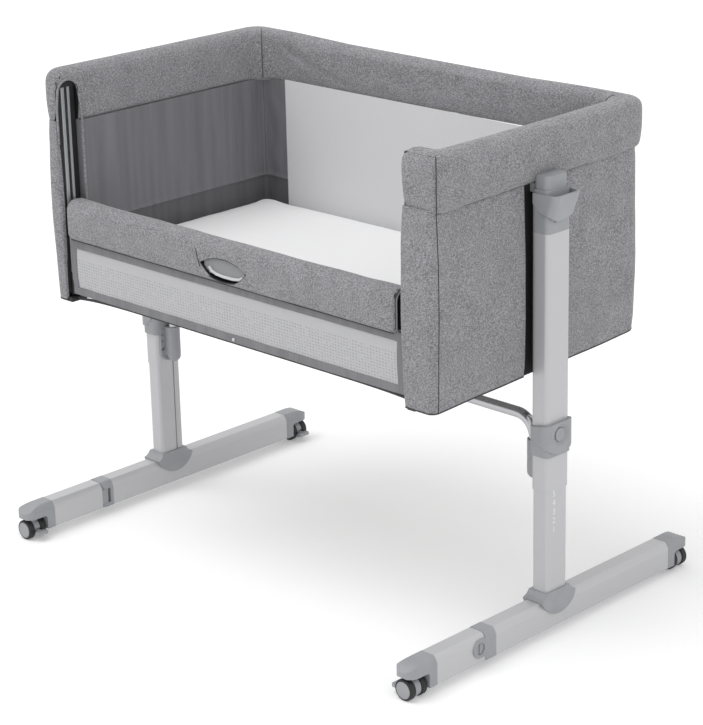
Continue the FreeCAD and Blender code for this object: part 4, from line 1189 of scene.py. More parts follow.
@dataclass
class Bassinet:
    """Fabric body: padded band, end covers, skirt, linings, back window and mattress.

    Args:
        finishes: Materials of the crib.
        half_length: Outer half length of the cover.
        front: Front face of the uprights.
        back: Outer face of the back.
        band_half: Outer half length of the padded band.
        band_proud: How far the band stands out past the back.
        band_edge: Radius of the band's upright edges.
        band_foot: Height of the band's lowest ring.
        seam: Height of the band's seam.
        top: Height of the band's top.
        round_top: Radius of the band's rounded top.
        shoulder_drop: How much lower the band's top ends at its front corners.
        shoulder_depth: Distance behind the front over which the shoulder drops.
        pinned_below: Height below which the band's cloth is held.
        outer_seam_inset: How far the band's outer back seams lie inside the corners.
        inner_seam_sum: Sum of X and Y along the band's inner back seams.
        arch_foot: Foot of the arches that open over the guides.
        arch_left: Crown of the left arch.
        arch_right: Crown of the right arch.
        back_corner: Radius of the cover's back corners.
        inner_corner: Radius of the band's inner back corners.
        hem: Height of the lower edge.
        inner_half: Inner half length.
        inner_back: Inner face of the back.
        gate_left: Left edge of the open side.
        gate_right: Right edge of the open side.
        gate_overlap: How far the band's right end reaches into the open side.
        upright_back: Back face of the uprights.
        cloth: Thickness of the cover's cloth.
        cover_step: Spacing of the cover's points.
        flap_left: Inner edge of the left upright's front flap.
        flap_right: Inner edge of the right upright's front.
        flap_fold: Radius of the fold at a flap's edge.
        flap_return: Depth of the cloth folded in behind a flap.
        left_lean: How much further out the left cover's front corner stands.
        back_end: Half distance between the covers' ends along the back.
        corner_seam_y: Y of the seam down the right upright's outer corner.
        recess_half: Half width of the recess beside a post, whose cloth is painted black as shade.
        skirt_half: Half length of the back skirt.
        skirt_top: Top of the back skirt.
        window_half: Half length of the back window.
        window_foot: Height of the lower edge of the window and of the linings.
        window_rise: Height of the window and of the right lining.
        left_rise: Height of the left lining.
        skirting_top: Top of the darker strip along the linings.
        seam_tilt: How the band's lower seam runs.
        top_tilt: How the band's top runs.
        hem_tilt: How the hem runs.
        slack: How far the covers stray from flat.
        slot: Sizes of the guide slots.
    """

    finishes: Finishes
    half_length: float = 0.438
    front: float = -0.244
    back: float = 0.246
    band_half: float = 0.4485
    band_proud: float = 0.008
    band_edge: float = 0.018
    band_foot: float = 0.735
    seam: float = 0.738
    top: float = 0.826
    round_top: float = 0.0158
    shoulder_drop: float = 0.008
    shoulder_depth: float = 0.030
    pinned_below: float = 0.743
    outer_seam_inset: float = 0.018
    inner_seam_sum: float = 0.5996
    arch_foot: float = 0.70
    arch_left: float = 0.809
    arch_right: float = 0.797
    back_corner: float = 0.031
    inner_corner: float = 0.040
    hem: float = 0.434
    inner_half: float = 0.402
    inner_back: float = 0.221
    gate_left: float = -0.409
    gate_right: float = 0.373
    gate_overlap: float = 0.004
    upright_back: float = -0.197
    cloth: float = 0.003
    cover_step: float = 0.004
    flap_left: float = -0.4155
    flap_right: float = 0.3785
    flap_fold: float = 0.0015
    flap_return: float = 0.006
    left_lean: float = 0.004
    back_end: float = 0.393
    corner_seam_y: float = -0.2335
    recess_half: float = 0.0375
    skirt_half: float = 0.394
    skirt_top: float = 0.524
    window_half: float = 0.346
    window_foot: float = 0.462
    window_rise: float = 0.278
    left_rise: float = 0.2745
    skirting_top: float = 0.5585
    seam_tilt: Tilt = Tilt(-0.003, -0.003, 0.006, -0.006)
    top_tilt: Tilt = Tilt(0.0, -0.001, -0.007, -0.0075)
    hem_tilt: Tilt = Tilt(-0.006, 0.006, 0.008, -0.010)
    slack: Slack = Slack()
    slot: GuideSlots = GuideSlots()

    def build(self) -> None:
        """Make every fabric piece of the bassinet."""
        self.band()
        self.left_cover()
        self.right_cover()
        self.back_skirt()
        self.linings()
        self.back_window()
        self.slots()
        self.seams()
        Mattress(self.finishes).build()

    def band(self) -> None:
        """Padded band along three sides, with an arch over each guide."""
        half, inner, edge = self.band_half, self.inner_half, self.band_edge
        gate_right = self.gate_right - self.gate_overlap
        back, back_corner = self.back + self.band_proud, self.back_corner + self.band_proud
        plan = Plan([
            (-half, self.front, edge), (self.gate_left, self.front, edge),
            (self.gate_left, self.upright_back - 0.012, edge), (-inner, self.upright_back + 0.007, edge),
            (-inner, self.inner_back, self.inner_corner), (inner, self.inner_back, self.inner_corner),
            (inner, self.upright_back, 0.006), (gate_right, self.upright_back, edge),
            (gate_right, self.front, edge), (half, self.front, edge),
            (half, back, back_corner), (-half, back, back_corner),
        ])

        def puff(place: Vector) -> float:
            """Uneven swell of the band, gone at the crown."""
            fade = unit((self.top - place.z) / self.round_top)
            return (0.0010 * rumple(place, 0.07) + 0.0005 * rumple(place, 0.022, 3.0)) * fade

        levels = BAND_FOOT_LEVELS + self.crown(9)
        piece = stacked_form("padded_band", plan, levels, self.finishes.get("outer"), puff)
        swollen(piece, 0.005, 0.0035, self.sewn)
        for vertex in piece.data.vertices:
            vertex.co.z = self.settled(vertex.co)
        dark = self.finishes.get("black")
        sides = (self.front + 0.004, self.upright_back - 0.003)
        left = (self.gate_left - 0.026, self.gate_left + 0.02)
        right = (self.gate_right - 0.02, self.gate_right + 0.026)
        carved(piece, [arch_cutter("arch_left", left, sides, (self.arch_foot, self.arch_left), dark),
                       arch_cutter("arch_right", right, sides, (self.arch_foot, self.arch_right), dark)])
        smooth(piece.data, 38.0)
        done(piece, Body.BASSINET, "outer_fabric", "top_band")

    def settled(self, place: Vector) -> float:
        """Height of a point of the band once its seam and top run as they hang.

        Args:
            place: Point of the level band.

        Returns:
            The height there, lower at the front corners too.
        """
        share = unit((place.z - self.band_foot) / (self.top - self.band_foot))
        seam, top = self.seam_tilt.at(place.x, place.y), self.top_tilt.at(place.x, place.y)
        from_front = unit((place.y - self.front) / self.shoulder_depth)
        return place.z + seam + (top - seam - self.shoulder_drop * (1 - from_front) ** 2) * share

    def crown(self, count: int) -> list[tuple[float, float]]:
        """Levels of the band's rounded top.

        Args:
            count: Number of levels.

        Returns:
            Heights and insets, from the start of the rounding to the top.
        """
        made = []
        for index in range(1, count + 1):
            angle = math.pi / 2 * index / count
            drop, inset = self.round_top * (1 - math.sin(angle)), self.round_top * (1 - math.cos(angle))
            made.append((self.top - drop, inset))
        return made

    def sewn(self, place: Vector) -> float:
        """One along the band's seams, where its cloth is held, and zero between them.

        Args:
            place: Point of the band.

        Returns:
            Share of the point's hold.
        """
        at_foot = place.z < self.pinned_below
        in_gate = self.gate_left - 0.006 < place.x < self.gate_right + 0.006
        at_gate = in_gate and place.y < self.upright_back - 0.004
        across = abs(place.x) + place.y
        at_outer_seam = abs(across - self.half_length - self.back + self.outer_seam_inset) < 0.004
        at_inner_seam = abs(across - self.inner_seam_sum) < 0.006
        at_front_corner = abs(place.x) > self.band_half - 0.004 and place.y < self.front + 0.012
        return 1.0 if at_foot or at_gate or at_outer_seam or at_inner_seam or at_front_corner else 0.0

    def wall_profile(self, top: float, bulge: float, seed: float) -> Profile:
        """Height and bulge of a stretched cover between its hem and its top seam.

        Args:
            top: Height of the top edge.
            bulge: Greatest outward shift.
            seed: Picks the random rumples.

        Returns:
            The profile.
        """
        slack = self.slack

        def profile(point: PlanPoint, share: float) -> tuple[float, float]:
            """Height and shift of the cover.

            Args:
                point: Point of the outline.
                share: Share of the way up.

            Returns:
                Height and outward shift.
            """
            place = Vector((point.place.x, point.place.y, 0.0))
            hem = self.hem + slack.hem_wave * math.sin(point.run * 9.0 + seed)
            hem += slack.hem_rumple * rumple(place, 0.09, seed)
            hem += self.hem_tilt.at(place.x, place.y)
            seam = top + self.seam_tilt.at(place.x, place.y)
            height = hem + (seam - hem) * share
            if self.beside_post_in_shade(place):
                return height, -slack.recess
            swell = math.sin(math.pi * min(share * 1.02, 1.0)) * bulge
            spot = Vector((place.x, place.y, height))
            wave = slack.wave * rumple(spot, 0.12, seed) + slack.crinkle * rumple(spot, 0.035, seed + 5)
            edge = min(1.0, share * slack.tightness, (1 - share) * slack.tightness)
            return height, swell + wave * edge - slack.tuck * (1 - edge)

        return profile

    def beside_post_in_shade(self, place: Vector) -> bool:
        """True in the recess of an end cover that the post stands in, where the cloth is painted black as
        shade.
        """
        return abs(place.y) < self.recess_half and abs(place.x) > self.half_length - 0.02

    def left_cover(self) -> None:
        """Cover of the left end, from the front flap round the back corner."""
        self.cover(End.LEFT, [
            (-self.back_end, self.back, 0), (-self.half_length, self.back, self.back_corner),
            (-self.half_length - self.left_lean, self.front, 0.012),
            (self.flap_left, self.front, self.flap_fold), (self.flap_left, self.front + self.flap_return, 0),
        ], 1.0)

    def right_cover(self) -> None:
        """Cover of the right end and of the wide front upright, and the cloth behind that upright."""
        self.cover(End.RIGHT, [
            (self.flap_right, self.front + self.flap_return, 0),
            (self.flap_right, self.front, self.flap_fold),
            (self.half_length, self.front, 0.014), (self.half_length, self.back, self.back_corner),
            (self.back_end, self.back, 0),
        ], 7.0)
        rise = 0.276
        back = Plan([(self.inner_half, self.upright_back, 0), (self.gate_right, self.upright_back, 0.002),
                     (self.gate_right, self.upright_back - 0.006, 0)], closed=False)
        closing = cloth_wall("right_upright_back", back, upright(self.window_foot, rise), 20, self.cloth,
                             self.finishes.get("lining"))
        done(closing, Body.BASSINET, "lining_fabric")
        self.flat(back, rise)

    def cover(self, end: End, corners: list[tuple[float, float, float]], seed: float) -> None:
        """Cloth cover of one end, with the recess that its post stands in painted black as shade.

        Args:
            end: The end of the crib.
            corners: X, Y and corner radius of its plan outline.
            seed: Picks the random rumples.
        """
        plan = Plan(corners, closed=False)
        profile = self.wall_profile(self.seam + 0.004, 0.003, seed)
        piece = cloth_wall(f"{end.word}_end_cover", plan, profile, 46, self.cloth, self.finishes.get("outer"),
                           self.cover_step)
        # The cloth in the post's recess gets the black finish: painted shade of the deep gap between cover
        # and post.
        faced(piece, self.finishes.get("black"), self.beside_post_in_shade)
        self.edge(f"{end.word}_cover_edge", plan, profile)
        if end is End.RIGHT:
            self.corner_seam(plan, profile)
        done(piece, Body.BASSINET, "outer_fabric", f"end_panel_{end.word}")
        self.flat(plan, self.seam - self.hem)

    def edge(self, name: str, plan: Plan, profile: Profile) -> None:
        """Thin black binding under a cover's hem.

        Args:
            name: Name of the piece.
            plan: Outline of the cover.
            profile: Profile of the cover.
        """
        below, rise, proud, thickness = 0.0016, 0.0022, 0.0005, 0.0030

        def binding(point: PlanPoint, share: float) -> tuple[float, float]:
            """Height and shift of the binding, a little proud of the cover's own hem."""
            height, shift = profile(point, 0.0)
            return height - below + rise * share, shift + proud

        piece = cloth_wall(name, plan, binding, 1, thickness, self.finishes.get("edging"), self.cover_step)
        done(piece, Body.BASSINET, "lining_fabric")

    def corner_seam(self, plan: Plan, profile: Profile) -> None:
        """Sewn line down the right upright's outer corner, from the band's top to the hem.

        Args:
            plan: Outline of the right cover.
            profile: Its profile.
        """
        corner = Vector((self.half_length, self.corner_seam_y))
        line = min(plan.points(self.cover_step), key=lambda point: (point.place - corner).length)
        path = []
        for index in range(41):
            height, shift = profile(line, index / 40)
            spot = line.place + line.outward * (shift + 0.0001)
            path.append(Vector((spot.x, spot.y, height)))
        x, y = self.band_half - 0.0026, self.front + 0.0026
        levels = [(0.7385, 0.0055), (0.745, 0.003), (0.76, 0.001), (0.785, 0.0)] + self.crown(5)
        high = [self.on_band(x - inset * 0.6, y + inset * 0.6, height) for height, inset in levels]
        thread = self.finishes.get("edging")
        lines = [swept("cover_corner_seam", path, 0.0007, thread),
                 swept("band_corner_seam", high, 0.0008, thread)]
        done(joined("front_corner_seam", lines), Body.BASSINET, "lining_fabric")

    def on_band(self, x: float, y: float, height: float) -> Vector:
        """Point of a seam that follows the band as it hangs, from its place on the level band."""
        return Vector((x, y, self.settled(Vector((x, y, height)))))

    def slots(self) -> None:
        """Black sheets of painted shade in the guide slots of both uprights, the left slot's piping and the
        uprights' feet.
        """
        slot, dark = self.slot, self.finishes.get("black")
        x = self.flap_left + 0.0012
        # Thin black sheets stand in the guide slots as painted shade of their dark insides.
        sides = {
            "shade_sheet_left_front": [(x, self.front + 0.005, 0), (x, slot.front_edge, 0)],
            "shade_sheet_left_back": [(x, slot.back_edge, 0), (x, self.upright_back - 0.005, 0)],
            "shade_sheet_right_front": [(slot.right_x, slot.right_y, 0), (self.flap_right + 0.003, slot.right_y, 0)],
        }
        for name, corners in sides.items():
            rise = (slot.left_top if "left" in name else slot.right_top) - slot.foot
            plan = Plan(corners, closed=False)
            piece = cloth_wall(name, plan, upright(slot.foot, rise), 8, slot.cloth, dark)
            done(piece, Body.BASSINET, "black_plastic")
        self.piping()
        for side, x0, x1 in (("left", -0.4360, -0.4060), ("right", 0.3800, 0.3960)):
            low = self.hem + self.hem_tilt.at(x0, self.front)
            foot = bar_block(f"upright_foot_{side}", (x0, slot.block_y[0], low - slot.block_z[0]),
                             (x1, slot.block_y[1], low + slot.block_z[1]), 0.0015, dark)
            done(foot, Body.BASSINET, "black_plastic")

    def piping(self) -> None:
        """Cloth piping up the front of the left slot, over its arch and down its back."""
        slot = self.slot
        middle = (self.front + 0.004 + self.upright_back - 0.003) / 2
        path = [Vector((self.flap_left + 0.0020, self.front + 0.003, z)) for z in slot.front_heights]
        for index in range(17):
            angle = math.pi * (1 - index / 16)
            path.append(Vector((self.gate_left + 0.0005, middle + slot.arch_radius * math.cos(angle),
                                slot.arch_centre + slot.arch_radius * math.sin(angle))))
        path += [Vector((slot.piping_back_x, self.upright_back - 0.0022, z)) for z in slot.back_heights]
        piece = swept("slot_piping", path, slot.piping, self.finishes.get("outer"))
        done(piece, Body.BASSINET, "outer_fabric")

    @staticmethod
    def flat(plan: Plan, height: float) -> tuple[float, float]:
        """Cut size of a sheet that stands on a plan outline."""
        return (plan.points(0.01)[-1].run, height)

    def back_skirt(self) -> None:
        """Low skirt along the back, below the window."""
        plan = Plan([(self.skirt_half, self.back, 0), (-self.skirt_half, self.back, 0)], closed=False)
        piece = cloth_wall("back_skirt", plan, self.wall_profile(self.skirt_top, 0.0015, 4.0), 14, self.cloth,
                           self.finishes.get("outer"))
        done(piece, Body.BASSINET, "outer_fabric", "back_panel")
        self.flat(plan, 0.09)

    def linings(self) -> None:
        """Satin linings of both ends, with drawn lines and a gathered corner."""
        for end in End:
            side = end.value
            front, inner = self.upright_back - 0.004, self.inner_half
            corners = [(side * (inner + 0.020), front, 0), (side * inner, front, 0.003),
                       (side * inner, self.inner_back, 0.006), (side * self.window_half, self.inner_back, 0)]
            if end is End.RIGHT:
                corners.reverse()
            plan = Plan(corners, closed=False)
            piece = cloth_wall(f"lining_{end.word}", plan, self.lining_profile(side), 60, 0.0015,
                               self.finishes.get("lining"), 0.005)
            faced(piece, self.finishes.get("skirting"), lambda place: place.z < self.skirting_top)
            replaced = ("end_linings",) if end is End.LEFT else ()
            done(piece, Body.BASSINET, "lining_fabric", *replaced)
            self.flat(plan, self.window_rise)

    def lining_profile(self, side: int) -> Profile:
        """Soft vertical draws in a lining, deeper near its lower seam and in the corner.

        Args:
            side: Sign of the end.

        Returns:
            The profile.
        """
        rise = self.window_rise if side > 0 else self.left_rise

        def profile(point: PlanPoint, share: float) -> tuple[float, float]:
            """Height and shift of the lining.

            Args:
                point: Point of the outline.
                share: Share of the way up.

            Returns:
                Height and outward shift.
            """
            height = self.window_foot + rise * share
            spot = Vector((point.place.x, point.place.y, height))
            along = Vector((0.0, point.run / 0.016, height / 0.30 + side))
            draw = 0.0011 * noise.noise(along)
            gather = bell(height, 0.560, 0.012) * 0.0008 * math.sin(point.run * 420)
            on_back = unit((self.inner_half - 0.004 - abs(point.place.x)) / 0.012)
            crease = on_back * 0.0028 * noise.noise(Vector((spot.x / 0.03, spot.z / 0.045, 3.0)))
            groove = -0.0022 * bell(height, 0.558, 0.0022)
            return height, -(draw + gather + crease + groove) - 0.001

        return profile

    def back_window(self) -> None:
        """White net along the closed long side."""
        half, face, rise = self.window_half, self.inner_back + 0.0005, self.window_rise
        plan = Plan([(half, face, 0), (-half, face, 0)], closed=False)
        piece = cloth_wall("back_window", plan, upright(self.window_foot, rise, 0.001), 4, 0.0012,
                           self.finishes.get("window"), 0.03)
        done(piece, Body.BASSINET, "window_mesh", "back_mesh")

    def seams(self) -> None:
        """Sewn lines in the inner corners and up the band's inner corners, and a dark cord under the band's
        ends as painted shadow of the band's overhang.
        """
        thread = self.finishes.get("skirting")
        seam_x, seam_y, under_x = 0.3900, 0.2090, 0.4405
        levels = [(0.741, 0.0038), (0.750, 0.0022), (0.776, 0.0003), (0.800, 0.0)] + self.crown(5)
        lines = []
        for end in End:
            x = end.value * (self.inner_half - 0.0012)
            corner = [Vector((x, self.inner_back - 0.001, z)) for z in (0.523, 0.60, 0.68, 0.736)]
            lines.append(swept(f"seam_inner_{end.word}", corner, 0.0009, thread))
            band = [self.on_band(end.value * (seam_x + inset * 0.7), seam_y + inset * 0.7, height)
                    for height, inset in levels]
            lines.append(swept(f"seam_band_{end.word}", band, 0.0010, thread))
            # Dark cord along the band's lower seam at each end: painted shadow under the band's overhang.
            run = [Vector((end.value * under_x, y, 0.7368)) for y in (self.front + 0.010, self.back - 0.030)]
            path = [run[0].lerp(run[1], index / 12) for index in range(13)]
            path = [Vector((spot.x, spot.y, spot.z + self.seam_tilt.at(spot.x, spot.y))) for spot in path]
            lines.append(swept(f"seam_under_band_{end.word}", path, 0.0009, thread))
        done(joined("seams_and_shadow_cord", lines), Body.BASSINET, "lining_fabric")


@dataclass
class Mattress:
    """Thin mattress with a crowned, slightly rumpled cover.

    Args:
        finishes: Materials of the crib.
        corner: Radius of its corners.
        levels: Share of the thickness and inset of each ring, from the bottom to the top.
    """

    finishes: Finishes
    corner: float = 0.030
    levels: tuple[tuple[float, float], ...] = (
        (0.0, 0.012), (0.04, 0.005), (0.12, 0.0015), (0.3, 0.0), (0.62, 0.0), (0.80, 0.0015), (0.92, 0.006),
        (0.975, 0.014), (1.0, 0.026))

    def build(self) -> None:
        """Make the mattress in the space of its frame node."""
        low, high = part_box("mattress")
        plan = Plan([(x, y, self.corner) for x, y in
                     ((low.x, low.y), (high.x, low.y), (high.x, high.y), (low.x, high.y))])
        thick = high.z - low.z
        levels = [(low.z + thick * share, inset) for share, inset in self.levels]
        piece = stacked_form("mattress_cover", plan, levels, self.finishes.get("cover"),
                             lambda place: 0.0010 * rumple(place, 0.05))
        swollen(piece, 0.006, 0.004, lambda place: 1.0 if place.z < low.z + 0.004 else 0.0)
        done(piece, Body.BASSINET, "mattress_cover", "mattress")


# -------------------- drop side
@dataclass(frozen=True)
class RailTrim:
    """Thin trim of the padded rail.

    Args:
        plate_half: Half thickness of the black end plate, painted shade of the gap past the rail's end.
        plate_reach: How far the plate reaches in and out from the padding's end.
        ring_share: Size of the piping's ring on the rail's section, across and up.
        ring_out: How far the ring stands past the padding's end.
        crease: Points of the stitched crease beside the grip.
        lip: X and height of points along the grip's front lip, coloured pale as a painted highlight.
        lip_y: Y of the lip.
    """

    plate_half: float = 0.0165
    plate_reach: tuple[float, float] = (0.004, 0.003)
    ring_share: tuple[float, float] = (0.86, 0.90)
    ring_out: float = 0.0035
    crease: tuple[tuple[float, float, float], ...] = (
        (-0.0767, -0.2434, 0.5836), (-0.0752, -0.2435, 0.5765), (-0.0734, -0.2435, 0.5695),
        (-0.0712, -0.2435, 0.5628), (-0.0686, -0.2434, 0.5561))
    lip: tuple[tuple[float, float], ...] = (
        (-0.0490, 0.5590), (-0.0440, 0.5528), (-0.0330, 0.5492), (-0.0150, 0.5477), (0.0050, 0.5479),
        (0.0200, 0.5498), (0.0300, 0.5545), (0.0325, 0.5600))
    lip_y: float = -0.2400


@dataclass
class DropSide:
    """Padded rail, its grip recess, and the net between the rail and the hem.

    Args:
        finishes: Materials of the crib.
        plane: Y of the middle of the rail.
        half: Half thickness of the rail.
        low: Underside of the rail.
        high: Top of the rail.
        low_round: Radius of the rail's lower edges.
        high_round: Radius of the rail's upper edges.
        left: Left end of the padding.
        right: Right end of the padding.
        right_droop: How much lower the cover hangs at its right end.
        hem_top: Top of the fixed hem.
        grip_middle: X of the middle of the grip opening.
        grip_half: Half length of the grip opening.
        grip_heights: Bottom, widest height and top of the grip opening.
        end_rounding: Distance from an end and size of the section there, in shares.
        strip: Width of the net's side strips.
        tape: Foot and height of the tape under the rail.
        binding: Thickness of the bindings.
        trim: Sizes of the rail's trim.
    """

    finishes: Finishes
    plane: float = -0.222
    half: float = 0.021
    low: float = 0.536
    high: float = 0.606
    low_round: float = 0.0085
    high_round: float = 0.0165
    left: float = -0.4075
    right: float = 0.359
    right_droop: float = 0.0035
    hem_top: float = 0.4525
    grip_middle: float = -0.0145
    grip_half: float = 0.053
    grip_heights: tuple[float, float, float] = (0.5384, 0.563, 0.5776)
    end_rounding: tuple[tuple[float, float], ...] = (
        (0.0, 0.72), (0.0012, 0.84), (0.0035, 0.93), (0.007, 0.98), (0.012, 1.0))
    strip: float = 0.013
    tape: tuple[float, float] = (0.5215, 0.0145)
    binding: float = 0.0016
    trim: RailTrim = RailTrim()

    @property
    def middle(self) -> float:
        """Height of the middle of the rail."""
        return (self.low + self.high) / 2

    def build(self) -> None:
        """Make every piece of the drop side."""
        self.rail()
        self.net()
        self.hem()

    def section(self) -> list[tuple[float, float]]:
        """Rail outline in the YZ plane, round and full at the top, going once round.

        Returns:
            Offsets from the rail's plane and heights.
        """
        rounds = [(1, self.low, -1, self.low_round), (1, self.high, 1, self.high_round),
                  (-1, self.high, 1, self.high_round), (-1, self.low, -1, self.low_round)]
        starts = {(1, -1): -90, (1, 1): 0, (-1, 1): 90, (-1, -1): 180}
        outline: list[tuple[float, float]] = []
        for y_sign, z, z_sign, radius in rounds:
            centre = (y_sign * (self.half - radius), z - z_sign * radius)
            for index in range(9):
                angle = math.radians(starts[(y_sign, z_sign)] + 90 * index / 8)
                outline.append((centre[0] + radius * math.cos(angle), centre[1] + radius * math.sin(angle)))
        return outline

    def rail(self) -> None:
        """Padded sleeve with rounded ends and the almond recess of the grip."""
        outline, stations = self.dense(self.section(), 0.006), self.stations()
        count = len(outline)
        vertices = []
        for x, shrink in stations:
            for y, z in outline:
                offset = Vector((0.0, y, z - self.middle)) * shrink
                spot = Vector((x, offset.y, offset.z))
                swell = 1.0 + 0.022 * rumple(spot, 0.11) + 0.012 * rumple(spot, 0.03, 2.0)
                offset *= swell if shrink > 0.97 else 1.0
                offset += self.crease(x, offset)
                vertices.append((x, self.plane + offset.y, self.middle + offset.z - self.droop(x)))
        faces = ring_faces(len(stations), count) + end_faces(len(stations), count)
        piece = new_piece("rail_cover", vertices, faces, self.finishes.get("outer"), 60.0)
        swollen(piece, 0.004, 0.0022, self.held)
        carved(piece, [self.almond_cutter()])
        smooth(piece.data, 45.0)
        done(piece, Body.DROP_RAIL, "outer_fabric", "rail_pad")
        self.rail_end()
        self.rail_lines()

    def rail_end(self) -> None:
        """Black plate at the rail's right end, painted shade of the gap past the rail's end, with the piping
        round it.
        """
        trim, (across, up) = self.trim, self.trim.ring_share
        # Black block at the rail's end: painted shade of the gap between the rail and the upright.
        plate = bar_block("rail_end_shade_plate",
                          (self.right - trim.plate_reach[0], self.plane - trim.plate_half, self.low + 0.004),
                          (self.right + trim.plate_reach[1], self.plane + trim.plate_half, self.high - 0.010),
                          0.0012, self.finishes.get("black"))
        done(plate, Body.DROP_RAIL, "black_plastic")
        outline = self.section()
        ring = [Vector((self.right + trim.ring_out, self.plane + y * across,
                        self.middle + (z - self.middle) * up - self.droop(self.right)))
                for y, z in outline + outline[:1]]
        piping = swept("rail_end_piping", ring, 0.0013, self.finishes.get("binding"))
        done(piping, Body.DROP_RAIL, "lining_fabric")

    def rail_lines(self) -> None:
        """Seam under the rail, stitched crease beside the grip, and the grip's front lip, pale as a painted
        highlight.
        """
        thread = self.finishes.get("edging")
        start, length = self.left + 0.01, self.right - self.left - 0.014
        y, z = self.plane - self.half + 0.0030, self.low + 0.0015
        places = [start + length * index / 40 for index in range(41)]
        under = [Vector((x, y, z - self.droop(x))) for x in places]
        crease = [Vector(spot) for spot in self.trim.crease]
        sewn = [swept("under_rail_seam", under, 0.0009, thread), swept("grip_crease", crease, 0.0006, thread)]
        done(joined("rail_sewn_lines", sewn), Body.DROP_RAIL, "lining_fabric")
        # The lip cord is pale: painted highlight along the grip's front lip.
        lip = [Vector((x, self.trim.lip_y, z)) for x, z in self.trim.lip]
        done(swept("grip_lip_highlight", lip, 0.0026, self.finishes.get("pale"), 12), Body.RAIL_GRIP, "housing_plastic")

    def droop(self, x: float) -> float:
        """How much lower the rail's cover hangs at a place toward its right end."""
        return self.right_droop * (x - self.left) / (self.right - self.left)

    def held(self, place: Vector) -> float:
        """One where the rail's cover is fixed: at its ends, along its underside and round the grip.

        Args:
            place: Point of the cover.

        Returns:
            Share of the point's hold.
        """
        at_end = place.x < self.left + 0.006 or place.x > self.right - 0.006
        by_grip = abs(place.x - self.grip_middle) < self.grip_half + 0.004 and place.y < self.plane - 0.015
        return 1.0 if at_end or by_grip or place.z < self.low + 0.003 else 0.0

    @staticmethod
    def dense(outline: Sequence[tuple[float, float]], step: float) -> list[tuple[float, float]]:
        """Fill the straight runs of a closed outline with points.

        Args:
            outline: Points of the outline.
            step: Greatest spacing.

        Returns:
            The denser outline.
        """
        made: list[tuple[float, float]] = []
        for (y0, z0), (y1, z1) in zip(outline, list(outline[1:]) + [outline[0]]):
            parts = max(1, math.ceil(math.hypot(y1 - y0, z1 - z0) / step))
            made += [(y0 + (y1 - y0) * index / parts, z0 + (z1 - z0) * index / parts)
                     for index in range(parts)]
        return made

    def stations(self) -> list[tuple[float, float]]:
        """Places along the rail and how much its section is drawn in there.

        Returns:
            X and share of the full section, from the left end to the right.
        """
        rounded = self.end_rounding[-1][0]
        made = [(self.left + reach, shrink) for reach, shrink in self.end_rounding]
        length = self.right - self.left - 2 * rounded
        parts = round(length / 0.007)
        made += [(self.left + rounded + length * index / parts, 1.0) for index in range(1, parts)]
        made += [(self.right - reach, shrink) for reach, shrink in reversed(self.end_rounding)]
        return made

    def crease(self, x: float, offset: Vector) -> Vector:
        """Fold that runs down from the upper left of the grip.

        Args:
            x: Place along the rail.
            offset: Offset of the point from the rail's middle.

        Returns:
            Shift of the point.
        """
        if offset.y > 0:
            return Vector((0, 0, 0))
        fold = self.grip_middle - self.grip_half - 0.012 - offset.z * 0.25
        depth = bell(x, fold, 0.0035) * bell(offset.z, 0.004, 0.014)
        return Vector((0, 0.0022 * depth, 0))

    def almond_cutter(self) -> Piece:
        """Closed almond shape that opens the rail's front for the grip.

        Returns:
            The shape, fuller below its corners than above them.
        """
        half = self.grip_half + 0.0016
        bottom, middle, top = self.grip_heights
        outline = []
        for index in range(25):
            share = -1 + 2 * index / 24
            outline.append((share * half, middle + (top - middle) * (1 - share * share)))
        for index in range(1, 24):
            share = 1 - 2 * index / 24
            outline.append((share * half, middle - (middle - bottom) * (1 - abs(share) ** 2.6)))
        outline.reverse()
        face = self.plane - self.half
        vertices = [(self.grip_middle + x, y, z) for y in (face - 0.02, face + 0.024) for x, z in outline]
        count = len(outline)
        faces = end_faces(2, count) + ring_faces(2, count)
        return new_piece("almond", vertices, faces, self.finishes.get("black"))

    def net(self) -> None:
        """Light net with its dark side strips and the tape that sews it to the rail."""
        low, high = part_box("drop_mesh")
        face, into = low.y + 0.0015, 0.004
        start, end = (0, face, self.hem_top + 0.002), (0, face, self.low - into)

        def hang(point: PlanPoint, share: float) -> tuple[float, float]:
            """Height and sag of the net between the hem and the rail.

            Args:
                point: Point of the outline.
                share: Share of the way up.

            Returns:
                Height and outward shift.
            """
            height = self.hem_top - into + (self.low + into - self.hem_top + into) * share
            ripple = 0.0008 * rumple(Vector((point.place.x, 0, height)), 0.05)
            return height, 0.0025 * math.sin(math.pi * share) + ripple

        plan = Plan([(low.x + 0.001, face, 0), (high.x - 0.001, face, 0)], closed=False)
        piece = cloth_wall("side_net", plan, hang, 16, 0.0012, self.finishes.get("side"), 0.012)
        self.hung(piece, "side_mesh", start, end, "drop_mesh")
        cloth = self.finishes.get("binding")
        for word, x0, x1 in (("left", low.x, low.x + self.strip), ("right", high.x - self.strip, high.x)):
            strip_plan = Plan([(x0, face - 0.0012, 0), (x1, face - 0.0012, 0)], closed=False)
            strip = cloth_wall(f"side_net_strip_{word}", strip_plan, hang, 16, self.binding, cloth)
            self.hung(strip, "lining_fabric", start, end)
        tape_plan = Plan([(low.x, face - 0.0022, 0), (high.x, face - 0.0022, 0)], closed=False)
        tape = cloth_wall("rail_tape", tape_plan, upright(*self.tape, 0.0006), 3, self.binding, cloth)
        done(tape, Body.DROP_RAIL, "lining_fabric")

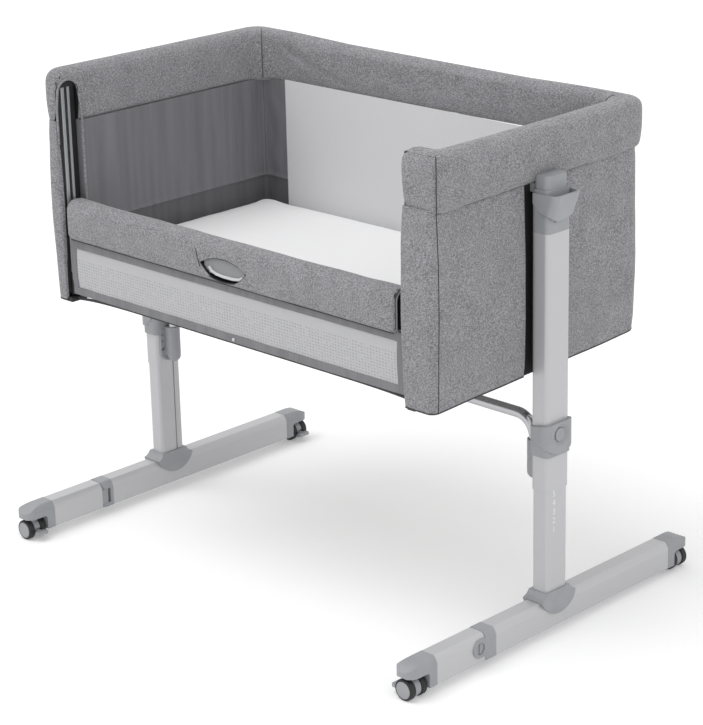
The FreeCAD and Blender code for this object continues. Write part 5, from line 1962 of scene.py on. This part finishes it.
    def hung(self, piece: Piece, slot: str, start: Sequence[float], end: Sequence[float],
             *nodes: str) -> None:
        """Bake a piece's place into its mesh and hide the frame nodes that it replaces.

        Args:
            piece: The piece.
            slot: Record slot of its finish; not used.
            start: Point below which it stays with the hem; not used.
            end: Point above which it goes with the rail; not used.
            *nodes: Frame nodes that it replaces.
        """
        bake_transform(piece)
        if nodes:
            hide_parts(*nodes)
        LOG.info("%s stretches between %s and %s", piece.name, Body.BASSINET.value, Body.DROP_RAIL.value)

    def hem(self) -> None:
        """Bound lower edge along the front, over the frame tube, with its black edge and its stud."""
        low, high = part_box("front_hem")

        def profile(point: PlanPoint, share: float) -> tuple[float, float]:
            """Height and shift of the hem's cloth, drawn in under the tube.

            Args:
                point: Point of the outline.
                share: Share of the way up.

            Returns:
                Height and outward shift.
            """
            angle = math.pi * 0.5 * min(1.0, share * 3.2)
            under = 0.010 * (1 - math.sin(angle))
            height = low.z - 0.003 + (self.hem_top + 0.002 - low.z) * share
            return height, -under + 0.0006 * rumple(Vector((point.place.x, 0, height)), 0.06)

        def binding(point: PlanPoint, share: float) -> tuple[float, float]:
            """Height and shift of the black edge, a little lower at the ends."""
            sag = 0.0035 * abs(point.place.x / high.x) ** 8
            return low.z - 0.0045 - sag + 0.004 * share, -0.0065

        plan = Plan([(low.x, low.y + 0.0006, 0), (high.x, low.y + 0.0006, 0)], closed=False)
        piece = cloth_wall("front_hem_cloth", plan, profile, 12, self.binding, self.finishes.get("binding"))
        done(piece, Body.BASSINET, "lining_fabric", "front_hem")
        edge = cloth_wall("front_hem_edge", plan, binding, 1, 0.003, self.finishes.get("edging"))
        done(edge, Body.BASSINET, "lining_fabric")
        stud = bar_block("hem_stud", (-0.0065, low.y - 0.0022, 0.4415), (-0.0015, low.y + 0.001, 0.4465),
                         0.001, self.finishes.get("pale"))
        done(stud, Body.BASSINET, "housing_plastic")


# -------------------- stand
@dataclass
class Stand:
    """Finishes of the legs and feet, and the printed height numbers.

    Args:
        finishes: Materials of the crib.
        hub_radius: Radius of a wheel's pale hub disc.
        hub_depth: Depth of the hub's rim from a wheel pair's outer face.
        first_number: Height of the top number.
        pitch: Spacing of the numbers, one for each height setting.
        count: Number of settings.
        number_height: Height of a printed number.
        type_share: Size of the type on the height of its numbers.
        print_depth: Half thickness of the print.
        number_front: Distance of the numbers in front of the leg's middle.
    """

    finishes: Finishes
    hub_radius: float = 0.0141
    hub_depth: float = 0.0016
    first_number: float = 0.2375
    pitch: float = 0.015
    count: int = 5
    number_height: float = 0.0105
    type_share: float = 1.35
    print_depth: float = 0.00005
    number_front: float = 0.008

    def build(self, nodes: dict[str, Piece]) -> None:
        """Dress the frame nodes and print the numbers.

        Args:
            nodes: Frame nodes by name.
        """
        self.dress(nodes)
        for end in End:
            self.numbers(end)

    def dress(self, nodes: dict[str, Piece]) -> None:
        """Give every hard node its finish.

        Args:
            nodes: Frame nodes by name.
        """
        wearers = {
            "bars": ["leg_tube", "rear_foot_bar", "front_foot_bar", "post_tube"],
            "housings": ["base_cover", "fold_hinge", "caster_bracket", "brake_lever", "post_heads",
                         "release_lever", "adjuster_housings", "height_button", "inner_brackets"],
            "caps": ["foot_cap", "front_knuckle", "fold_lock_button"],
            "tubes": ["rim_tube", "base_frame", "rail_tube"],
            "guides": ["guide_tracks"],
            "black": ["track_ends", "rail_sliders", "grip_frame"],
            "grips": ["rail_grip"],
            "polished": ["cross_tube"],
            "bolts": ["bracket_bolts"],
            "tyre": ["wheels"],
            "board": ["mattress_board"],
        }
        for finish, words in wearers.items():
            for name, node in nodes.items():
                if any(word in name for word in words):
                    node.data.materials.clear()
                    node.data.materials.append(self.finishes.get(finish))
                    LOG.info("%s wears %s", name, finish)
        for name, node in nodes.items():
            if "wheels" in name:
                self.hubs(node)

    def hubs(self, node: Piece) -> None:
        """Give the flat discs of a wheel pair the pale hub finish.

        Args:
            node: Node of the wheel pair.
        """
        low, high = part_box(node.name)
        middle, outer = (low + high) / 2, (high.y - low.y) / 2 - self.hub_depth

        def on_disc(place: Vector) -> bool:
            """True at a face of the outer hub discs."""
            offset = place - middle
            return math.hypot(offset.x, offset.z) < self.hub_radius and abs(offset.y) > outer

        faced(node, self.finishes.get("hubs"), on_disc)

    def numbers(self, end: End) -> None:
        """Print the height numbers down the outer face of one leg tube.

        Args:
            end: The end of the crib.
        """
        low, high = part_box(f"leg_tube_{end.word}")
        x = (high.x if end is End.RIGHT else low.x) + end.value * 2 * self.print_depth
        turn = Matrix(((0, 0, end.value, 0), (end.value, 0, 0, 0), (0, 1, 0, 0), (0, 0, 0, 1)))
        digits = []
        for index in range(self.count):
            spot = Vector((x, -end.value * self.number_front, self.first_number - index * self.pitch))
            name = f"number_{end.word}_{index}"
            digits.append(self.number(name, str(self.count - index), Matrix.Translation(spot) @ turn))
        piece = joined(f"height_numbers_{end.word}", digits)
        body = Body.LEG_RIGHT if end is End.RIGHT else Body.LEG_LEFT
        done(piece, body, "housing_plastic")

    def number(self, name: str, text: str, place: Matrix) -> Piece:
        """One printed number.

        Args:
            name: Name of the piece.
            text: The number.
            place: Where it stands and faces.

        Returns:
            The number's mesh object.
        """
        curve = bpy.data.curves.new(name, "FONT")
        curve.body = text
        curve.size = self.number_height * self.type_share
        curve.align_x = "CENTER"
        curve.align_y = "CENTER"
        curve.extrude = self.print_depth
        holder = placed(name, curve)
        bpy.context.view_layer.update()
        mesh = bpy.data.meshes.new_from_object(holder)
        bpy.data.objects.remove(holder)
        mesh.transform(place)
        mesh.materials.clear()
        mesh.materials.append(self.finishes.get("print"))
        return placed(name + "_mesh", mesh)


# -------------------- studio
@dataclass
class Studio:
    """Camera, floor and light.

    Args:
        eye: Camera position.
        yaw: Turn of the view from +Y toward -X, in degrees.
        pitch: Downward tilt in degrees.
        roll: Roll about the view in degrees.
        focal_pixels: Focal length in pixels of the photograph.
        frame_pixels: Longer side of the photograph in pixels.
        sensor: Width of the camera's sensor in millimetres.
        reach: Greatest distance that the camera sees.
        ambient: Strength of the sky's light on the crib.
        floor_half: Half width of the floor.
        floor_tone: Grey of the floor.
        floor_lift: Light added to the floor as the camera sees it.
    """

    eye: tuple[float, float, float] = (2.6719, -2.6491, 1.6567)
    yaw: float = 44.967
    pitch: float = 19.239
    roll: float = -1.369
    focal_pixels: float = 2376.6
    frame_pixels: float = 725.0
    sensor: float = 36.0
    reach: float = 50.0
    ambient: float = 0.70
    floor_half: float = 14.0
    floor_tone: float = 0.90
    floor_lift: float = 0.22

    def build(self) -> None:
        """Set the camera, the floor and the lights."""
        self.camera()
        self.floor()
        self.lights()

    def camera(self) -> None:
        """Camera at the photograph's angle."""
        yaw, pitch, roll = (math.radians(value) for value in (self.yaw, self.pitch, self.roll))
        ahead = Vector((-math.sin(yaw) * math.cos(pitch), math.cos(yaw) * math.cos(pitch), -math.sin(pitch)))
        right = Vector((math.cos(yaw), math.sin(yaw), 0.0))
        up = right.cross(ahead)
        rolled_right = right * math.cos(roll) + up * math.sin(roll)
        rolled_up = up * math.cos(roll) - right * math.sin(roll)
        data = bpy.data.cameras.new("camera")
        data.sensor_width = self.sensor
        data.lens = self.sensor * self.focal_pixels / self.frame_pixels
        data.clip_end = self.reach
        camera = placed("camera", data)
        columns = Matrix((rolled_right, rolled_up, -ahead)).transposed()
        camera.matrix_world = Matrix.Translation(self.eye) @ columns.to_4x4()
        bpy.context.scene.camera = camera

    def floor(self) -> None:
        """Pale floor that keeps the shadow and shows white to the camera."""
        half, grey = self.floor_half, self.floor_tone
        shader = Shader("studio_floor")
        shader.set(Base_Color=(grey, grey, grey, 1.0), Roughness=0.9, Specular_IOR_Level=0.1)
        rays = shader.node("ShaderNodeLightPath")
        glow = shader.node("ShaderNodeEmission")
        glow.inputs["Color"].default_value = (1.0, 1.0, 1.0, 1.0)
        lift = shader.calc("MULTIPLY", self.seen(shader.tree, rays), self.floor_lift)
        shader.link(lift, glow.inputs["Strength"])
        both = shader.node("ShaderNodeAddShader")
        shader.link(shader.surface.outputs[0], both.inputs[0])
        shader.link(glow.outputs[0], both.inputs[1])
        shader.link(both.outputs[0], shader.output.inputs[0])
        mesh = bpy.data.meshes.new("floor")
        corners = [(-half, -half, 0), (half, -half, 0), (half, half, 0), (-half, half, 0)]
        mesh.from_pydata(corners, [], [(0, 1, 2, 3)])
        mesh.materials.append(shader.material)
        placed("floor", mesh)

    @staticmethod
    def seen(tree: bpy.types.NodeTree, rays: bpy.types.Node) -> Socket:
        """One where a ray comes from the camera, a mirror or glass, and zero elsewhere.

        Args:
            tree: Node tree in work.
            rays: Its Light Path node.

        Returns:
            The mask.
        """
        total = rays.outputs["Is Camera Ray"]
        for kind in ("Is Glossy Ray", "Is Transmission Ray"):
            add = tree.nodes.new("ShaderNodeMath")
            add.operation = "ADD"
            add.use_clamp = True
            tree.links.new(total, add.inputs[0])
            tree.links.new(rays.outputs[kind], add.inputs[1])
            total = add.outputs[0]
        return total

    def lights(self) -> None:
        """Even white studio light with a soft key from the front and above."""
        self.sun("key_light", (-0.32, -0.50, 1.20), 40.0, 1.00)
        self.sun("side_light", (1.0, -0.25, 0.75), 50.0, 0.30)
        world = bpy.data.worlds.new("studio_world")
        world.use_nodes = True
        tree = world.node_tree
        tree.nodes.clear()
        output = tree.nodes.new("ShaderNodeOutputWorld")
        shades = []
        for strength in (self.ambient, 1.0):
            shade = tree.nodes.new("ShaderNodeBackground")
            shade.inputs["Color"].default_value = (1.0, 1.0, 1.0, 1.0)
            shade.inputs["Strength"].default_value = strength
            shades.append(shade)
        mix = tree.nodes.new("ShaderNodeMixShader")
        tree.links.new(self.seen(tree, tree.nodes.new("ShaderNodeLightPath")), mix.inputs[0])
        for index, shade in enumerate(shades):
            tree.links.new(shade.outputs[0], mix.inputs[1 + index])
        tree.links.new(mix.outputs[0], output.inputs[0])
        bpy.context.scene.world = world

    @staticmethod
    def sun(name: str, toward: Sequence[float], spread: float, strength: float) -> None:
        """Broad even light from one direction.

        Args:
            name: Name of the light.
            toward: Direction from the crib to the light.
            spread: Angular width in degrees.
            strength: Strength of the light.
        """
        data = bpy.data.lights.new(name, "SUN")
        data.angle = math.radians(spread)
        data.energy = strength
        turn = Vector(toward).to_track_quat("Z", "Y").to_matrix().to_4x4()
        placed(name, data).matrix_world = Matrix.Translation(Vector(toward) * 3.0) @ turn


def main() -> None:
    """Load the frame, dress it and set the studio."""
    logging.basicConfig(level=logging.INFO, format="%(name)s: %(message)s")
    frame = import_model()
    finishes = Finishes(Palette())
    Stand(finishes).build(frame["nodes"])
    Bassinet(finishes).build()
    DropSide(finishes).build()
    Studio().build()
    bpy.context.scene.view_settings.view_transform = "Standard"


if __name__ == "__main__":
    main()
